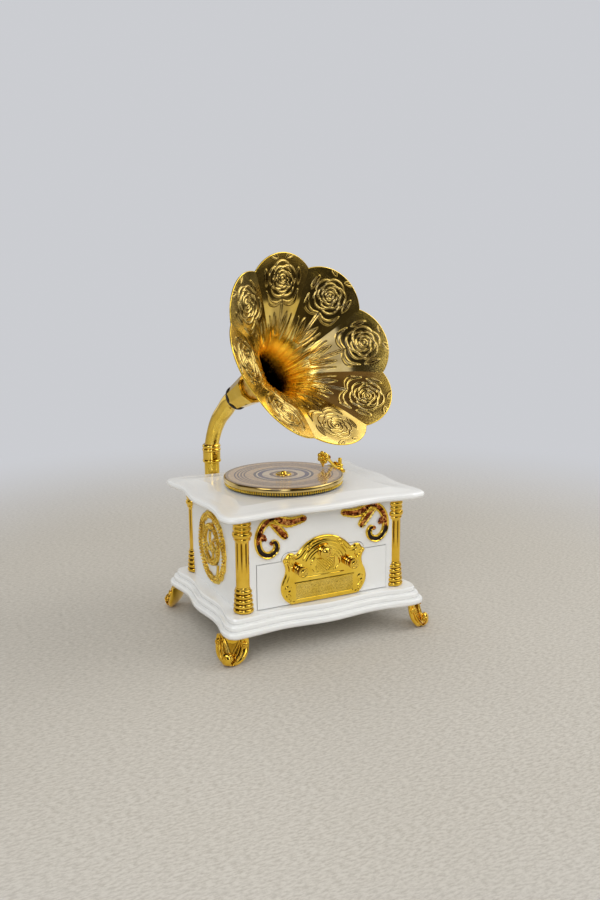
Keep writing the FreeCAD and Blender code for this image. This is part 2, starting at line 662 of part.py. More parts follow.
def gear_face(teeth, addendum, dedendum, backlash):
    """Spur gear outline in the XY plane, with involute flanks and a tooth centred on +X."""
    pitch = MODULE * teeth / 2
    base = pitch * math.cos(PRESSURE_ANGLE)
    outer = pitch + addendum
    root = pitch - dedendum
    inv = lambda r: math.tan(math.acos(base / r)) - math.acos(base / r)
    half_at_pitch = math.pi / (2 * teeth) - backlash / (2 * pitch)
    points = []
    start = max(base, root) + 1e-4
    for tooth in range(teeth):
        centre = 2 * math.pi * tooth / teeth
        flank = []
        for i in range(5):
            r = start + (outer - start) * i / 4
            flank.append((r, half_at_pitch + inv(pitch) - inv(r)))
        left = [(root, -flank[0][1])] + [(r, -a) for r, a in flank]
        right = [(r, a) for r, a in reversed(flank)] + [(root, flank[0][1])]
        for r, a in left + right:
            points.append(Vector(r * math.cos(centre + a), r * math.sin(centre + a), 0))
    return polygon_face(points)


def gear_x(teeth, addendum, x0, x1, y, z, tooth_angle, backlash=0.08):
    """Spur gear on a line along X. tooth_angle points from its centre to the middle of a tooth."""
    gear = gear_face(teeth, addendum, 0.6, backlash).extrude(Vector(0, 0, x1 - x0))
    gear.rotate(Vector(0, 0, 0), Z_AXIS, tooth_angle)
    place = FreeCAD.Placement(Vector(x0, y, z), FreeCAD.Rotation(Y_AXIS, Z_AXIS, X_AXIS, "ZXY"))
    gear.Placement = place.multiply(gear.Placement)
    return gear


def crown_wheel():
    """Wheel with teeth on its face, the top tooth facing the spindle pinion."""
    face_width = 1.2
    pitch_radius = MODULE * CROWN_TEETH / 2
    root_x = CROWN_PLANE_X + 0.6
    tip_x = CROWN_PLANE_X - 0.32
    disc_x = root_x + 1.8
    wheel = rod_x(root_x, disc_x, 0, AXIS_Z, pitch_radius + face_width / 2 + 0.2)
    wheel = wheel.fuse(rod_x(root_x, CYLINDER_START, 0, AXIS_Z, 3.4))
    half_pitch = math.pi * MODULE / 4 - 0.13
    lean = math.tan(PRESSURE_ANGLE)
    tip_half = half_pitch - (CROWN_PLANE_X - tip_x) * lean
    root_half = half_pitch + (root_x - CROWN_PLANE_X) * lean
    for i in range(CROWN_TEETH):
        z0 = pitch_radius - face_width / 2
        section = [Vector(root_x + 0.2, -root_half, z0), Vector(root_x + 0.2, root_half, z0),
                   Vector(tip_x, tip_half, z0), Vector(tip_x, -tip_half, z0)]
        tooth = polygon_face(section).extrude(Vector(0, 0, face_width))
        tooth.rotate(Vector(0, 0, 0), X_AXIS, 360 * i / CROWN_TEETH)
        tooth.translate(Vector(0, 0, AXIS_Z))
        wheel = wheel.fuse(tooth)
    save(wheel.cut(rod_x(root_x - 1, disc_x + 9, 0, AXIS_Z, 1.2)), "crown_wheel")


# Movement

def bed_screw_places():
    return [(-19.0, -26.0), (44.0, -26.0), (-14.5, 31.0), (44.0, 22.0)]


def comb_screw_places():
    return [CYLINDER_START + 3.0, CYLINDER_START + 10.0, CYLINDER_START + 17.0]


def movement_bedplate():
    bed = box(-22.5, 47.0, -30.0, 34.0, SHELF_TOP, BED_TOP)
    comb_seat = box(CYLINDER_START, CYLINDER_START + CYLINDER_LENGTH, COMB_BACK_Y, COMB_BACK_Y + 9.0,
                    BED_TOP, COMB_BOTTOM)
    bed = bed.fuse(comb_seat)
    for x, y in bed_screw_places():
        bed = bed.cut(rod_z(x, y, SHELF_TOP - 1, BED_TOP + 1, SMALL_SCREW_RADIUS))
    for x in comb_screw_places():
        bed = bed.cut(rod_z(x, COMB_SCREW_Y, COMB_BOTTOM - 5, AXIS_Z + 1, SMALL_SCREW_RADIUS))
    save(bed, "movement_bedplate")


def small_screw(seat, direction):
    """Screw whose head stands on seat; direction points from the head into the work."""
    head = Part.makeCylinder(1.8, 1.2, seat - direction * 1.2, direction)
    return head.fuse(Part.makeCylinder(SMALL_SCREW_RADIUS, SMALL_SCREW_LENGTH, seat, direction))


def small_screws():
    """Equal screws of the bedplate, the comb and the horn bracket."""
    down = Vector(0, 0, -1)
    forward = Vector(0, -1, 0)
    screws = [small_screw(Vector(x, y, BED_TOP), down) for x, y in bed_screw_places()]
    screws += [small_screw(Vector(x, COMB_SCREW_Y, COMB_BOTTOM + 1.0), down) for x in comb_screw_places()]
    screws += [small_screw(Vector(x, CABINET_HALF_Y + 2.0, z), forward) for x, z in horn_bracket_screw_places()]
    save(Part.makeCompound(screws), "small_screws")


def bearing_plate(x0, x1, y0, y1, z_top, holes, name):
    plate = box(x0, x1, y0, y1, BED_TOP, z_top)
    for y, z, radius in holes:
        plate = plate.cut(rod_x(x0 - 1, x1 + 1, y, z, radius))
    save(plate, name)


def bearing_plates():
    bearing_plate(-21.4, -20.0, -5.0, 31.0, 75.6,
                  [(0, AXIS_Z, 1.2 + FIT), (IDLER_Y, AXIS_Z, 0.8 + FIT), (FAN_Y, AXIS_Z, 0.8 + FIT)],
                  "left_bearing_plate")
    bearing_plate(-9.2, -7.8, -5.0, 31.0, 75.6,
                  [(0, AXIS_Z, 1.2 + FIT), (IDLER_Y, AXIS_Z, 0.8 + FIT), (FAN_Y, AXIS_Z, 0.8 + FIT)],
                  "middle_bearing_plate")


def right_bearing_plate():
    """Plate that carries the winding arbor, with the riveted stud of the click pawl."""
    plate = box(RIGHT_PLATE_X, RIGHT_PLATE_X + 1.6, -6.0, 16.0, BED_TOP, 75.6)
    plate = plate.cut(rod_x(RIGHT_PLATE_X - 1, RIGHT_PLATE_X + 3, 0, AXIS_Z, SPINDLE_RADIUS + FIT))
    stud = rod_x(RATCHET_X - 0.1, RIGHT_PLATE_X, CLICK_Y, CLICK_Z, 0.8)
    head = rod_x(RATCHET_X - 0.9, RATCHET_X - 0.1, CLICK_Y, CLICK_Z, 1.4)
    save(fuse_all([plate, stud, head]), "right_bearing_plate")


def pin_cylinder():
    x0 = CYLINDER_START
    x1 = CYLINDER_START + CYLINDER_LENGTH
    cylinder = rod_x(x0, x1, 0, AXIS_Z, CYLINDER_RADIUS)
    pins_per_tooth = 4
    for tooth in range(COMB_TEETH):
        x = x0 + 1.2 + tooth * (CYLINDER_LENGTH - 2.4) / (COMB_TEETH - 1)
        for k in range(pins_per_tooth):
            a = 2 * math.pi * (k / pins_per_tooth + 0.618 * tooth)
            direction = Vector(0, math.cos(a), math.sin(a))
            pin = Part.makeCylinder(0.22, 1.0, Vector(x, 0, AXIS_Z) + direction * (CYLINDER_RADIUS - 0.5), direction)
            cylinder = cylinder.fuse(pin)
    save(cylinder.cut(rod_x(x0 - 1, x1 + 1, 0, AXIS_Z, 1.2)), "pin_cylinder")


def cylinder_arbor():
    save(rod_x(-21.8, BARREL_START + 1.0, 0, AXIS_Z, 1.2), "cylinder_arbor")


def tone_comb():
    """Steel comb; its tooth tips stop just clear of the pins."""
    x0 = CYLINDER_START + 0.4
    x1 = CYLINDER_START + CYLINDER_LENGTH - 0.4
    tip_y = -CYLINDER_RADIUS - 0.7
    comb = box(x0, x1, COMB_BACK_Y, tip_y, COMB_BOTTOM, COMB_BOTTOM + 1.0)
    pitch = (x1 - x0) / COMB_TEETH
    for i in range(1, COMB_TEETH):
        x = x0 + i * pitch
        comb = comb.cut(box(x - 0.12, x + 0.12, COMB_BACK_Y + 10.5, tip_y + 1, COMB_BOTTOM - 1, COMB_BOTTOM + 2))
    for x in comb_screw_places():
        comb = comb.cut(rod_z(x, COMB_SCREW_Y, COMB_BOTTOM - 1, COMB_BOTTOM + 2, SMALL_SCREW_RADIUS))
    save(comb, "tone_comb")


def spring_barrel():
    """Drum that holds the mainspring, closed by its own left wall."""
    x0 = BARREL_START
    x1 = BARREL_START + BARREL_LENGTH - 1.2
    drum = rod_x(x0, x1, 0, AXIS_Z, BARREL_RADIUS)
    drum = drum.cut(rod_x(x0 + 1.6, x1 + 1, 0, AXIS_Z, BARREL_RADIUS - 0.9))
    drum = drum.cut(rod_x(x0 - 1, x0 + 1.0, 0, AXIS_Z, 1.2))
    save(drum, "spring_barrel")


def barrel_cover():
    x0 = BARREL_START + BARREL_LENGTH - 1.2
    cover = rod_x(x0, x0 + 1.2, 0, AXIS_Z, BARREL_RADIUS).cut(rod_x(x0 - 1, x0 + 3, 0, AXIS_Z, SPINDLE_RADIUS + FIT))
    save(cover, "barrel_cover")


def mainspring():
    """Flat strip wound in a spiral between the arbor and the drum."""
    x0 = BARREL_START + 2.2
    width = BARREL_LENGTH - 4.2
    turns = 5
    start, end = SPINDLE_RADIUS + 0.3, BARREL_RADIUS - 1.3
    thick = 0.3
    def spiral(offset):
        points = []
        steps = turns * 16
        for i in range(steps + 1):
            a = 2 * math.pi * turns * i / steps
            r = start + (end - start - thick) * i / steps + offset
            points.append(Vector(x0, r * math.cos(a), AXIS_Z + r * math.sin(a)))
        curve = Part.BSplineCurve()
        curve.interpolate(points)
        return curve.toShape(), points
    inside, a = spiral(0)
    outside, b = spiral(thick)
    wire = Part.Wire(Part.__sortEdges__([inside, line(a[-1], b[-1]), outside, line(b[0], a[0])]))
    save(Part.Face(wire).extrude(Vector(width, 0, 0)), "mainspring")


def winding_arbor():
    save(rod_x(BARREL_START + 1.8, CRANK_HUB_X + 4.6, 0, AXIS_Z, SPINDLE_RADIUS), "winding_arbor")


def ratchet_wheel():
    points = []
    for i in range(RATCHET_TEETH):
        a = 2 * math.pi * i / RATCHET_TEETH
        step = 2 * math.pi / RATCHET_TEETH
        points.append(Vector(RATCHET_X, RATCHET_RADIUS * math.cos(a), RATCHET_RADIUS * math.sin(a)))
        points.append(Vector(RATCHET_X, (RATCHET_RADIUS - 1.0) * math.cos(a + 0.12 * step),
                             (RATCHET_RADIUS - 1.0) * math.sin(a + 0.12 * step)))
    wheel = polygon_face(points).extrude(Vector(RATCHET_THICK, 0, 0))
    wheel.translate(Vector(0, 0, AXIS_Z))
    save(wheel.cut(rod_x(RATCHET_X - 1, RATCHET_X + 9, 0, AXIS_Z, SPINDLE_RADIUS)), "ratchet_wheel")


def click_pawl():
    """Pawl on the right plate. Its nose hangs just clear of the ratchet's tooth tips."""
    nose_y = RATCHET_RADIUS + 0.25
    points = [Vector(RATCHET_X + 0.1, CLICK_Y - 1.2, CLICK_Z + 1.6), Vector(RATCHET_X + 0.1, nose_y, AXIS_Z + 0.9),
              Vector(RATCHET_X + 0.1, nose_y + 0.1, AXIS_Z - 0.4), Vector(RATCHET_X + 0.1, CLICK_Y + 0.4, CLICK_Z - 1.8)]
    nose = polygon_face(points).extrude(Vector(RATCHET_THICK - 0.2, 0, 0))
    hub = rod_x(RATCHET_X + 0.1, RATCHET_X + RATCHET_THICK - 0.1, CLICK_Y, CLICK_Z, 2.0)
    pawl = nose.fuse(hub).cut(rod_x(RATCHET_X - 1, RATCHET_X + 4, CLICK_Y, CLICK_Z, 0.8 + FIT))
    save(pawl, "click_pawl")


def governor_train():
    """Drive wheel on the cylinder's arbor, idler, and the fan that holds the speed down."""
    drive = gear_x(DRIVE_TEETH, 0.4, DRIVE_X, DRIVE_X + 1.4, 0, AXIS_Z, 0)
    save(drive.cut(rod_x(-30, 30, 0, AXIS_Z, 1.2)), "drive_wheel")
    gap = 180 / PINION_TEETH
    idler_pinion = gear_x(PINION_TEETH, 0.4, DRIVE_X - 0.4, DRIVE_X + 1.8, IDLER_Y, AXIS_Z, 180 + gap)
    idler_wheel = gear_x(IDLER_TEETH, 0.4, IDLER_X, IDLER_X + 1.4, IDLER_Y, AXIS_Z, 0)
    idler_arbor = rod_x(-21.8, -7.4, IDLER_Y, AXIS_Z, 0.8)
    save(fuse_all([idler_arbor, idler_pinion, idler_wheel]), "governor_idler")
    fan_pinion = gear_x(PINION_TEETH, 0.4, IDLER_X - 0.4, IDLER_X + 1.8, FAN_Y, AXIS_Z, 180 + gap)
    fan_arbor = rod_x(-21.8, -7.4, FAN_Y, AXIS_Z, 0.8)
    blade = box(FAN_X, FAN_X + 4.4, FAN_Y - 6.0, FAN_Y + 6.0, AXIS_Z - 0.4, AXIS_Z + 0.4)
    save(fuse_all([fan_arbor, fan_pinion, blade]), "governor_fan")


# Crank

def crank_end():
    return (CRANK_RADIUS * math.cos(CRANK_REST_ANGLE), AXIS_Z + CRANK_RADIUS * math.sin(CRANK_REST_ANGLE))


def crank_bushing():
    tube = rod_x(CABINET_HALF_X - WALL - 0.6, CABINET_HALF_X + 1.2, 0, AXIS_Z, 3.0)
    flange = rod_x(CABINET_HALF_X, CABINET_HALF_X + 1.2, 0, AXIS_Z, CRANK_FLANGE)
    save(tube.fuse(flange).cut(rod_x(40, 60, 0, AXIS_Z, SPINDLE_RADIUS + FIT)), "crank_bushing")


def crank_knob_start():
    return CRANK_HUB_X + 1.0 + CRANK_ARM_THICK + 0.2


def crank_arm():
    """Hub on the winding arbor, flat arm and the pin on which the knob turns."""
    x0 = CRANK_HUB_X
    arm_start, arm_end = x0 + 1.0, x0 + 1.0 + CRANK_ARM_THICK
    y, z = crank_end()
    hub = rod_x(x0, x0 + 4.6, 0, AXIS_Z, 3.6)
    boss = rod_x(arm_start, arm_end, y, z, 2.6)
    bar = box(arm_start, arm_end, 0, CRANK_RADIUS, -2.2, 2.2)
    bar.rotate(Vector(0, 0, 0), X_AXIS, math.degrees(CRANK_REST_ANGLE))
    bar.translate(Vector(0, 0, AXIS_Z))
    pin_end = crank_knob_start() + CRANK_KNOB_LENGTH - CRANK_KNOB_WALL - 0.2
    pin = rod_x(arm_start, pin_end, y, z, CRANK_PIN_RADIUS)
    arm = fuse_all([hub, boss, bar, pin])
    save(arm.cut(rod_x(x0 - 1, x0 + 4.6, 0, AXIS_Z, SPINDLE_RADIUS)), "crank_arm")


def crank_knob():
    """Rounded grip with a blind bore."""
    y, z = crank_end()
    at = lambda r, x: Vector(crank_knob_start() + x, y, z + r)
    length = CRANK_KNOB_LENGTH
    depth = length - CRANK_KNOB_WALL
    bore = CRANK_PIN_RADIUS + FIT
    end_radius = 0.8
    edges = [line(at(bore, 0), at(2.2, 0)), arc(at(2.2, 0), at(2.7, 0.3 * length), at(3.0, 0.6 * length)),
             arc(at(3.0, 0.6 * length), at(2.5, 0.86 * length), at(end_radius, length)),
             line(at(end_radius, length), at(0, length)), line(at(0, length), at(0, depth)),
             line(at(0, depth), at(bore, depth)), line(at(bore, depth), at(bore, 0))]
    save(turned(edges, Vector(0, y, z), X_AXIS), "crank_knob")


# Tonearm

def tonearm_bushing():
    tube = rod_z(ARM_X, ARM_Y, DECK_BOTTOM - 0.8, DECK_TOP + 1.2, 2.4)
    flange = rod_z(ARM_X, ARM_Y, DECK_TOP, DECK_TOP + 1.2, 3.6)
    save(tube.fuse(flange).cut(rod_z(ARM_X, ARM_Y, 80, 95, ARM_SHAFT_RADIUS + FIT)), "tonearm_bushing")


def tonearm_shaft():
    shaft = rod_z(ARM_X, ARM_Y, LEVER_BOTTOM, ARM_SHAFT_TOP - 1.0, ARM_SHAFT_RADIUS)
    tip = Part.makeSphere(ARM_SHAFT_RADIUS, Vector(ARM_X, ARM_Y, ARM_SHAFT_TOP - ARM_SHAFT_RADIUS))
    save(shaft.fuse(tip), "tonearm_shaft")


def round_bar(points, radius):
    """Bar of round section along a smooth line."""
    curve = Part.BSplineCurve()
    curve.interpolate(points)
    spine = Part.Wire([curve.toShape()])
    circle = Part.Wire([Part.Circle(points[0], curve.tangent(curve.FirstParameter)[0], radius).toShape()])
    return spine.makePipeShell([circle], True, False)


def tonearm():
    boss = rod_z(ARM_X, ARM_Y, DECK_TOP + 1.4, DECK_TOP + 5.4, 2.7)
    start = Vector(ARM_X, ARM_Y, DECK_TOP + 3.4)
    bar = round_bar([start, start + Vector(-5.4, -2.6, 1.4), start + Vector(-10.6, -5.2, 5.2), HEAD], 1.4)
    leaf = polygon_face([Vector(ARM_X - 1.2, ARM_Y - 1.0, DECK_TOP + 2.2), Vector(ARM_X - 1.8, ARM_Y - 6.0, DECK_TOP + 2.2),
                         Vector(ARM_X + 1.6, ARM_Y - 13.0, DECK_TOP + 2.2),
                         Vector(ARM_X + 3.2, ARM_Y - 6.0, DECK_TOP + 2.2),
                         Vector(ARM_X + 1.6, ARM_Y - 1.0, DECK_TOP + 2.2)]).extrude(Vector(0, 0, 1.6))
    arm = fuse_all([boss, bar, leaf]).cut(rod_z(ARM_X, ARM_Y, 80, 110, ARM_SHAFT_RADIUS))
    save(arm.cut(sound_box_body()), "tonearm")


def sound_box_axis():
    along = HEAD - Vector(ARM_X, ARM_Y, HEAD.z)
    return along.normalize()


def sound_box_body():
    axis = sound_box_axis()
    return Part.makeCylinder(3.4, 3.6, HEAD - axis * 0.6, axis)


def sound_box():
    """Small drum on the end of the arm, with a tapered needle that ends just over the record."""
    axis = sound_box_axis()
    cap = Part.makeCylinder(2.4, 1.2, HEAD + axis * 3.0, axis)
    foot = HEAD + axis * 1.2
    needle = Part.makeCone(0.5, 1.5, HEAD.z - 2.2 - NEEDLE_TIP_Z, Vector(foot.x, foot.y, NEEDLE_TIP_Z), Z_AXIS)
    save(fuse_all([sound_box_body(), cap, needle]), "sound_box")


def stop_lever():
    """Brake under the deck: its end swings against the spindle when the tonearm moves outward."""
    hub = rod_z(ARM_X, ARM_Y, LEVER_BOTTOM, DECK_BOTTOM - 1.0, 3.0)
    bar = box(0, LEVER_LENGTH, -0.9, 0.9, 0, 1.2)
    shoe = rod_z(LEVER_LENGTH, 0, 0, 1.2, 1.5)
    bar = bar.fuse(shoe)
    bar.rotate(Vector(0, 0, 0), Z_AXIS, LEVER_ANGLE)
    bar.translate(Vector(ARM_X, ARM_Y, LEVER_BOTTOM + 0.2))
    lever = hub.fuse(bar).cut(rod_z(ARM_X, ARM_Y, 70, 90, ARM_SHAFT_RADIUS))
    save(lever, "stop_lever")


# Horn

def horn_direction():
    return Vector(math.cos(HORN_ELEVATION) * math.cos(HORN_AZIMUTH),
                  math.cos(HORN_ELEVATION) * math.sin(HORN_AZIMUTH), math.sin(HORN_ELEVATION))


def horn_frame():
    """Local +Z is the horn's axis and local +X its upper side."""
    axis = horn_direction()
    across = Vector(-math.sin(HORN_AZIMUTH), math.cos(HORN_AZIMUTH), 0)
    up = axis.cross(across)
    rotation = FreeCAD.Rotation(up, across, axis, "ZXY")
    return FreeCAD.Placement(Vector(STEM_X, STEM_Y, HORN_AXIS_Z), rotation)


def horn_bracket():
    """Plate on the back wall with an arm and a ring that hold the socket behind the deck."""
    back = CABINET_HALF_Y
    plate = box(STEM_X - 10.0, STEM_X + 10.0, back, back + 2.0, 62.5, 79.5)
    arm = box(STEM_X - 3.0, STEM_X + 3.0, back + 1.0, STEM_Y - 4.0, 66.0, 76.0)
    ring = rod_z(STEM_X, STEM_Y, 65.0, 77.0, 7.6)
    bracket = fuse_all([plate, arm, ring]).cut(rod_z(STEM_X, STEM_Y, 60, 80, SOCKET_RADIUS))
    for x, z in horn_bracket_screw_places():
        bracket = bracket.cut(rod_y(x, back - 1, back + 3, z, SMALL_SCREW_RADIUS))
    save(bracket, "horn_bracket")


def horn_socket():
    """Upright tube with a ringed collar, in which the horn's stem stands and turns."""
    levels = [(SOCKET_BOTTOM, COLLAR_BOTTOM, SOCKET_RADIUS, 0), (COLLAR_BOTTOM, COLLAR_BOTTOM + 2.4, 5.4, 0.8),
              (COLLAR_BOTTOM + 2.4, COLLAR_BOTTOM + 7.6, 5.8, 0), (COLLAR_BOTTOM + 7.6, COLLAR_BOTTOM + 9.8, 5.5, 0.7),
              (COLLAR_BOTTOM + 9.8, COLLAR_TOP, 5.4, 0.7)]
    socket = bead_column(STEM_X, STEM_Y, levels)
    save(socket.cut(rod_z(STEM_X, STEM_Y, SOCKET_BOTTOM + 3.0, COLLAR_TOP + 1, SOCKET_BORE)), "horn_socket")


def horn_stem():
    """Gooseneck tube: a plain spigot in the socket, then one bend onto the horn's axis."""
    spigot = rod_z(STEM_X, STEM_Y, SOCKET_BOTTOM + 6.0, COLLAR_TOP + 2.0, SOCKET_BORE - FIT)
    start = Vector(STEM_X, STEM_Y, COLLAR_TOP + 0.05)
    axis = horn_direction()
    corner = Vector(STEM_X, STEM_Y, HORN_AXIS_Z) + axis * 3.0
    end = Vector(STEM_X, STEM_Y, HORN_AXIS_Z) + axis * (FERRULE_START + 4.0)
    first = (corner - start).normalize()
    half_turn = first.getAngle(axis) / 2
    reach = STEM_BEND_RADIUS * math.tan(half_turn)
    bend_start = corner - first * reach
    bend_end = corner + axis * reach
    middle = corner + (axis - first).normalize() * (STEM_BEND_RADIUS / math.cos(half_turn) - STEM_BEND_RADIUS)
    spine = Part.Wire([line(start, bend_start), arc(bend_start, middle, bend_end), line(bend_end, end)])
    outer = Part.Wire([Part.Circle(start, first, STEM_RADIUS).toShape()])
    tube = spine.makePipeShell([outer], True, False)
    above = box(STEM_X - 40, STEM_X + 40, STEM_Y - 60, STEM_Y + 30, COLLAR_TOP + 0.05, 250)
    tube = tube.common(above).fuse(spigot)
    bore = Part.Wire([Part.Circle(start, first, STEM_RADIUS - 1.1).toShape()])
    tube = tube.cut(spine.makePipeShell([bore], True, False))
    tube = tube.cut(rod_z(STEM_X, STEM_Y, SOCKET_BOTTOM, COLLAR_TOP + 2.0, SOCKET_BORE - 1.1))
    save(tube, "horn_stem")


def place_on_horn(shape):
    shape.Placement = horn_frame().multiply(shape.Placement)
    return shape


def neck_washer():
    ring = rod_z(0, 0, FERRULE_START - 1.6, FERRULE_START, 7.6).cut(rod_z(0, 0, 0, 99, STEM_RADIUS))
    save(place_on_horn(ring), "neck_washer")


def eight_sided(radius, z):
    points = []
    for i in range(8):
        a = math.radians(22.5 + 45 * i)
        points.append(Vector(radius * math.cos(a), radius * math.sin(a), z))
    return Part.makePolygon(points + [points[0]])


def horn_ferrule():
    """Eight-sided neck between the stem and the bell."""
    neck = Part.makeLoft([eight_sided(8.0, FERRULE_START), eight_sided(10.5, FERRULE_END)], True, True)
    neck = neck.cut(rod_z(0, 0, 0, FERRULE_START + 4.0, STEM_RADIUS))
    neck = neck.cut(rod_z(0, 0, FERRULE_START + 4.0, 99, STEM_RADIUS - 1.1))
    neck = neck.cut(bell_solid(BELL_THICK))
    save(place_on_horn(neck), "horn_ferrule")


def bell_stations(thickness):
    """Radius and place along the axis at each station of the bell, at a distance behind its inner face."""
    count = len(BELL_PROFILE)
    stations = []
    for i, (r, z) in enumerate(BELL_PROFILE):
        r0, z0 = BELL_PROFILE[max(i - 1, 0)]
        r1, z1 = BELL_PROFILE[min(i + 1, count - 1)]
        length = math.hypot(r1 - r0, z1 - z0)
        stations.append((r + thickness * (z1 - z0) / length, z - thickness * (r1 - r0) / length))
    return stations


def facet_share(z):
    """How far the petals are flattened: none in the throat, nearly flat towards the rim."""
    t = min(max((z - FACET_START) / (FACET_END - FACET_START), 0), 1)
    return FACET_SHARE * t * t * (3 - 2 * t)


def bell_section(radius, z):
    """Eight arcs that meet in the creases between the petals."""
    half = math.pi / PETALS
    crease = radius * (1 + facet_share(z) * (1 / math.cos(half) - 1))
    spot = lambda r, a: Vector(r * math.cos(a), r * math.sin(a), z)
    edges = []
    for k in range(PETALS):
        middle = math.radians(HORN_TURN) + 2 * half * k
        edges.append(arc(spot(crease, middle - half), spot(radius, middle), spot(crease, middle + half)))
    return Part.Wire(edges)


def bell_solid(thickness):
    return Part.makeLoft([bell_section(r, z) for r, z in bell_stations(thickness)], True, False)


def petal_outline(z):
    """Eight round lobes that meet in notches."""
    edges = []
    half = math.pi / PETALS
    spot = lambda r, a: Vector(r * math.cos(a), r * math.sin(a), z)
    for k in range(PETALS):
        middle = math.radians(HORN_TURN) + 2 * half * k
        edges.append(arc(spot(PETAL_NOTCH, middle - half), spot(PETAL_TIP, middle), spot(PETAL_NOTCH, middle + half)))
    return Part.Face(Part.Wire(edges))


def scalloped_face(count, tip, notch, turn):
    """Flat face with round lobes about the origin."""
    half = math.pi / count
    spot = lambda r, a: Vector(r * math.cos(a), r * math.sin(a), 0)
    edges = []
    for k in range(count):
        middle = math.radians(turn) + 2 * half * k
        edges.append(arc(spot(notch, middle - half), spot(tip, middle), spot(notch, middle + half)))
    return Part.Face(Part.Wire(edges))


def leaf_face(side):
    """Slim pointed leaf beside the stem."""
    root = Vector(side * 2.0, -31.0, 0)
    tip = Vector(side * 5.0, -17.4, 0)
    middle = (root + tip) / 2
    across = Vector(side * 1.3, -0.3, 0)
    return Part.Face(Part.Wire([arc(root, middle + across, tip), arc(tip, middle - across, root)]))


def rose_face():
    """Rings of petals round a bud, a stem and two leaves, drawn flat with the rim side up."""
    parts = []
    for tip, count, turn in ROSE_RINGS:
        notch = tip * 0.86
        outer = scalloped_face(count, tip, notch, turn)
        parts.append(outer.cut(scalloped_face(count, tip - ROSE_LINE, notch - ROSE_LINE, turn)))
    parts.append(Part.Face(Part.Wire(Part.makeCircle(1.5))))
    half = ROSE_LINE / 2
    parts.append(polygon_face([Vector(-half, -32, 0), Vector(half, -32, 0), Vector(half, -12, 0), Vector(-half, -12, 0)]))
    parts.append(leaf_face(-1))
    parts.append(leaf_face(1))
    return parts


def rose_relief():
    """The raised lines of one rose, cut to a thin layer that follows the first petal."""
    middle = math.radians(HORN_TURN)
    radial = Vector(math.cos(middle), math.sin(middle), 0)
    outward = radial * math.cos(ROSE_SLOPE) + Z_AXIS * math.sin(ROSE_SLOPE)
    normal = Z_AXIS * math.cos(ROSE_SLOPE) - radial * math.sin(ROSE_SLOPE)
    rotation = FreeCAD.Rotation(outward.cross(normal), outward, normal, "ZXY")
    place = FreeCAD.Placement(radial * ROSE_RADIUS + Z_AXIS * ROSE_PLACE, rotation)
    layer = bell_solid(BELL_THICK / 2).cut(bell_solid(-ROSE_HEIGHT))
    reach_below, reach_above = 8.0, 1.5
    pieces = []
    for face in rose_face():
        face.translate(Vector(0, 0, -reach_below))
        prism = face.extrude(Vector(0, 0, reach_below + reach_above))
        prism.Placement = place
        pieces.extend(prism.common(layer).Solids)
    return pieces


def horn_bell():
    """Flared sheet of eight petals, with creases between them, a scalloped rim and a rose on each petal."""
    bell = bell_solid(BELL_THICK).cut(bell_solid(0))
    bell = bell.common(petal_outline(BELL_START - 5).extrude(Vector(0, 0, 100)))
    rose = rose_relief()
    roses = []
    for k in range(PETALS):
        for piece in rose:
            copy = piece.copy()
            copy.rotate(Vector(0, 0, 0), Z_AXIS, 360 / PETALS * k)
            roses.append(copy)
    save(place_on_horn(bell.multiFuse(roses)), "horn_bell")


def main():
    os.makedirs("parts", exist_ok=True)
    base_plinth()
    case_screws()
    cabinet_shell()
    for sx, sy, name in CORNERS:
        corner_foot(sx, sy, name)
        corner_column(sx, sy, name)
    inner_shelf()
    drawer_runners()
    top_deck()
    scroll_bracket(-1, "scroll_bracket_left")
    scroll_bracket(1, "scroll_bracket_right")
    side_medallion(-1, "side_medallion_left")
    side_medallion(1, "side_medallion_right")
    drawer_front()
    drawer_tray()
    drawer_plaque()
    drawer_knob(-1, "drawer_knob_left")
    drawer_knob(1, "drawer_knob_right")
    turntable_platter()
    record_disc()
    spindle_cap()
    turntable_spindle()
    spindle_bushing()
    crown_wheel()
    movement_bedplate()
    small_screws()
    bearing_plates()
    right_bearing_plate()
    pin_cylinder()
    cylinder_arbor()
    tone_comb()
    spring_barrel()
    barrel_cover()
    mainspring()
    winding_arbor()
    ratchet_wheel()
    click_pawl()
    governor_train()
    crank_bushing()
    crank_arm()
    crank_knob()
    tonearm_bushing()
    tonearm_shaft()
    tonearm()
    sound_box()
    stop_lever()
    horn_bracket()
    horn_socket()
    horn_stem()
    neck_washer()
    horn_ferrule()
    horn_bell()


main()
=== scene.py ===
from math import atan2, cos, degrees, hypot, pi, radians, sin

import bpy
import numpy as np
from mathutils import Matrix, Vector


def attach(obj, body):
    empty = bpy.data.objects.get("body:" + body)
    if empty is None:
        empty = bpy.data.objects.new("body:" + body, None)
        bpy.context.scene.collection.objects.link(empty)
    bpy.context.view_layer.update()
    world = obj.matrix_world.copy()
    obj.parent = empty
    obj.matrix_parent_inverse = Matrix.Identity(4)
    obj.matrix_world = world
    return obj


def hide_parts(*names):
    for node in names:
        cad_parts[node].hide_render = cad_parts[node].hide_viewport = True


# Gramophone music box: looks. Shapes are worked out in millimetres and built in metres.
MM = 0.001

# Places shared by several pieces
WALL_FRONT_Y = -43.4
WALL_SIDE_X = 53.4
DRAWER_FACE_Y = -43.7
TURN_AXIS = (-5.4, 0.0)
PLATTER_RADIUS = 37.4
RECORD_TOP, RECORD_RADIUS = 94.5, 36.3
ARM_AXIS, NEEDLE_PLACE = (41.0, 12.0), (25.2, 4.2)
SIDES = ((-1, "left"), (1, "right"))
CORNERS = ((-1, -1, "front_left"), (1, -1, "front_right"), (-1, 1, "rear_left"), (1, 1, "rear_right"))

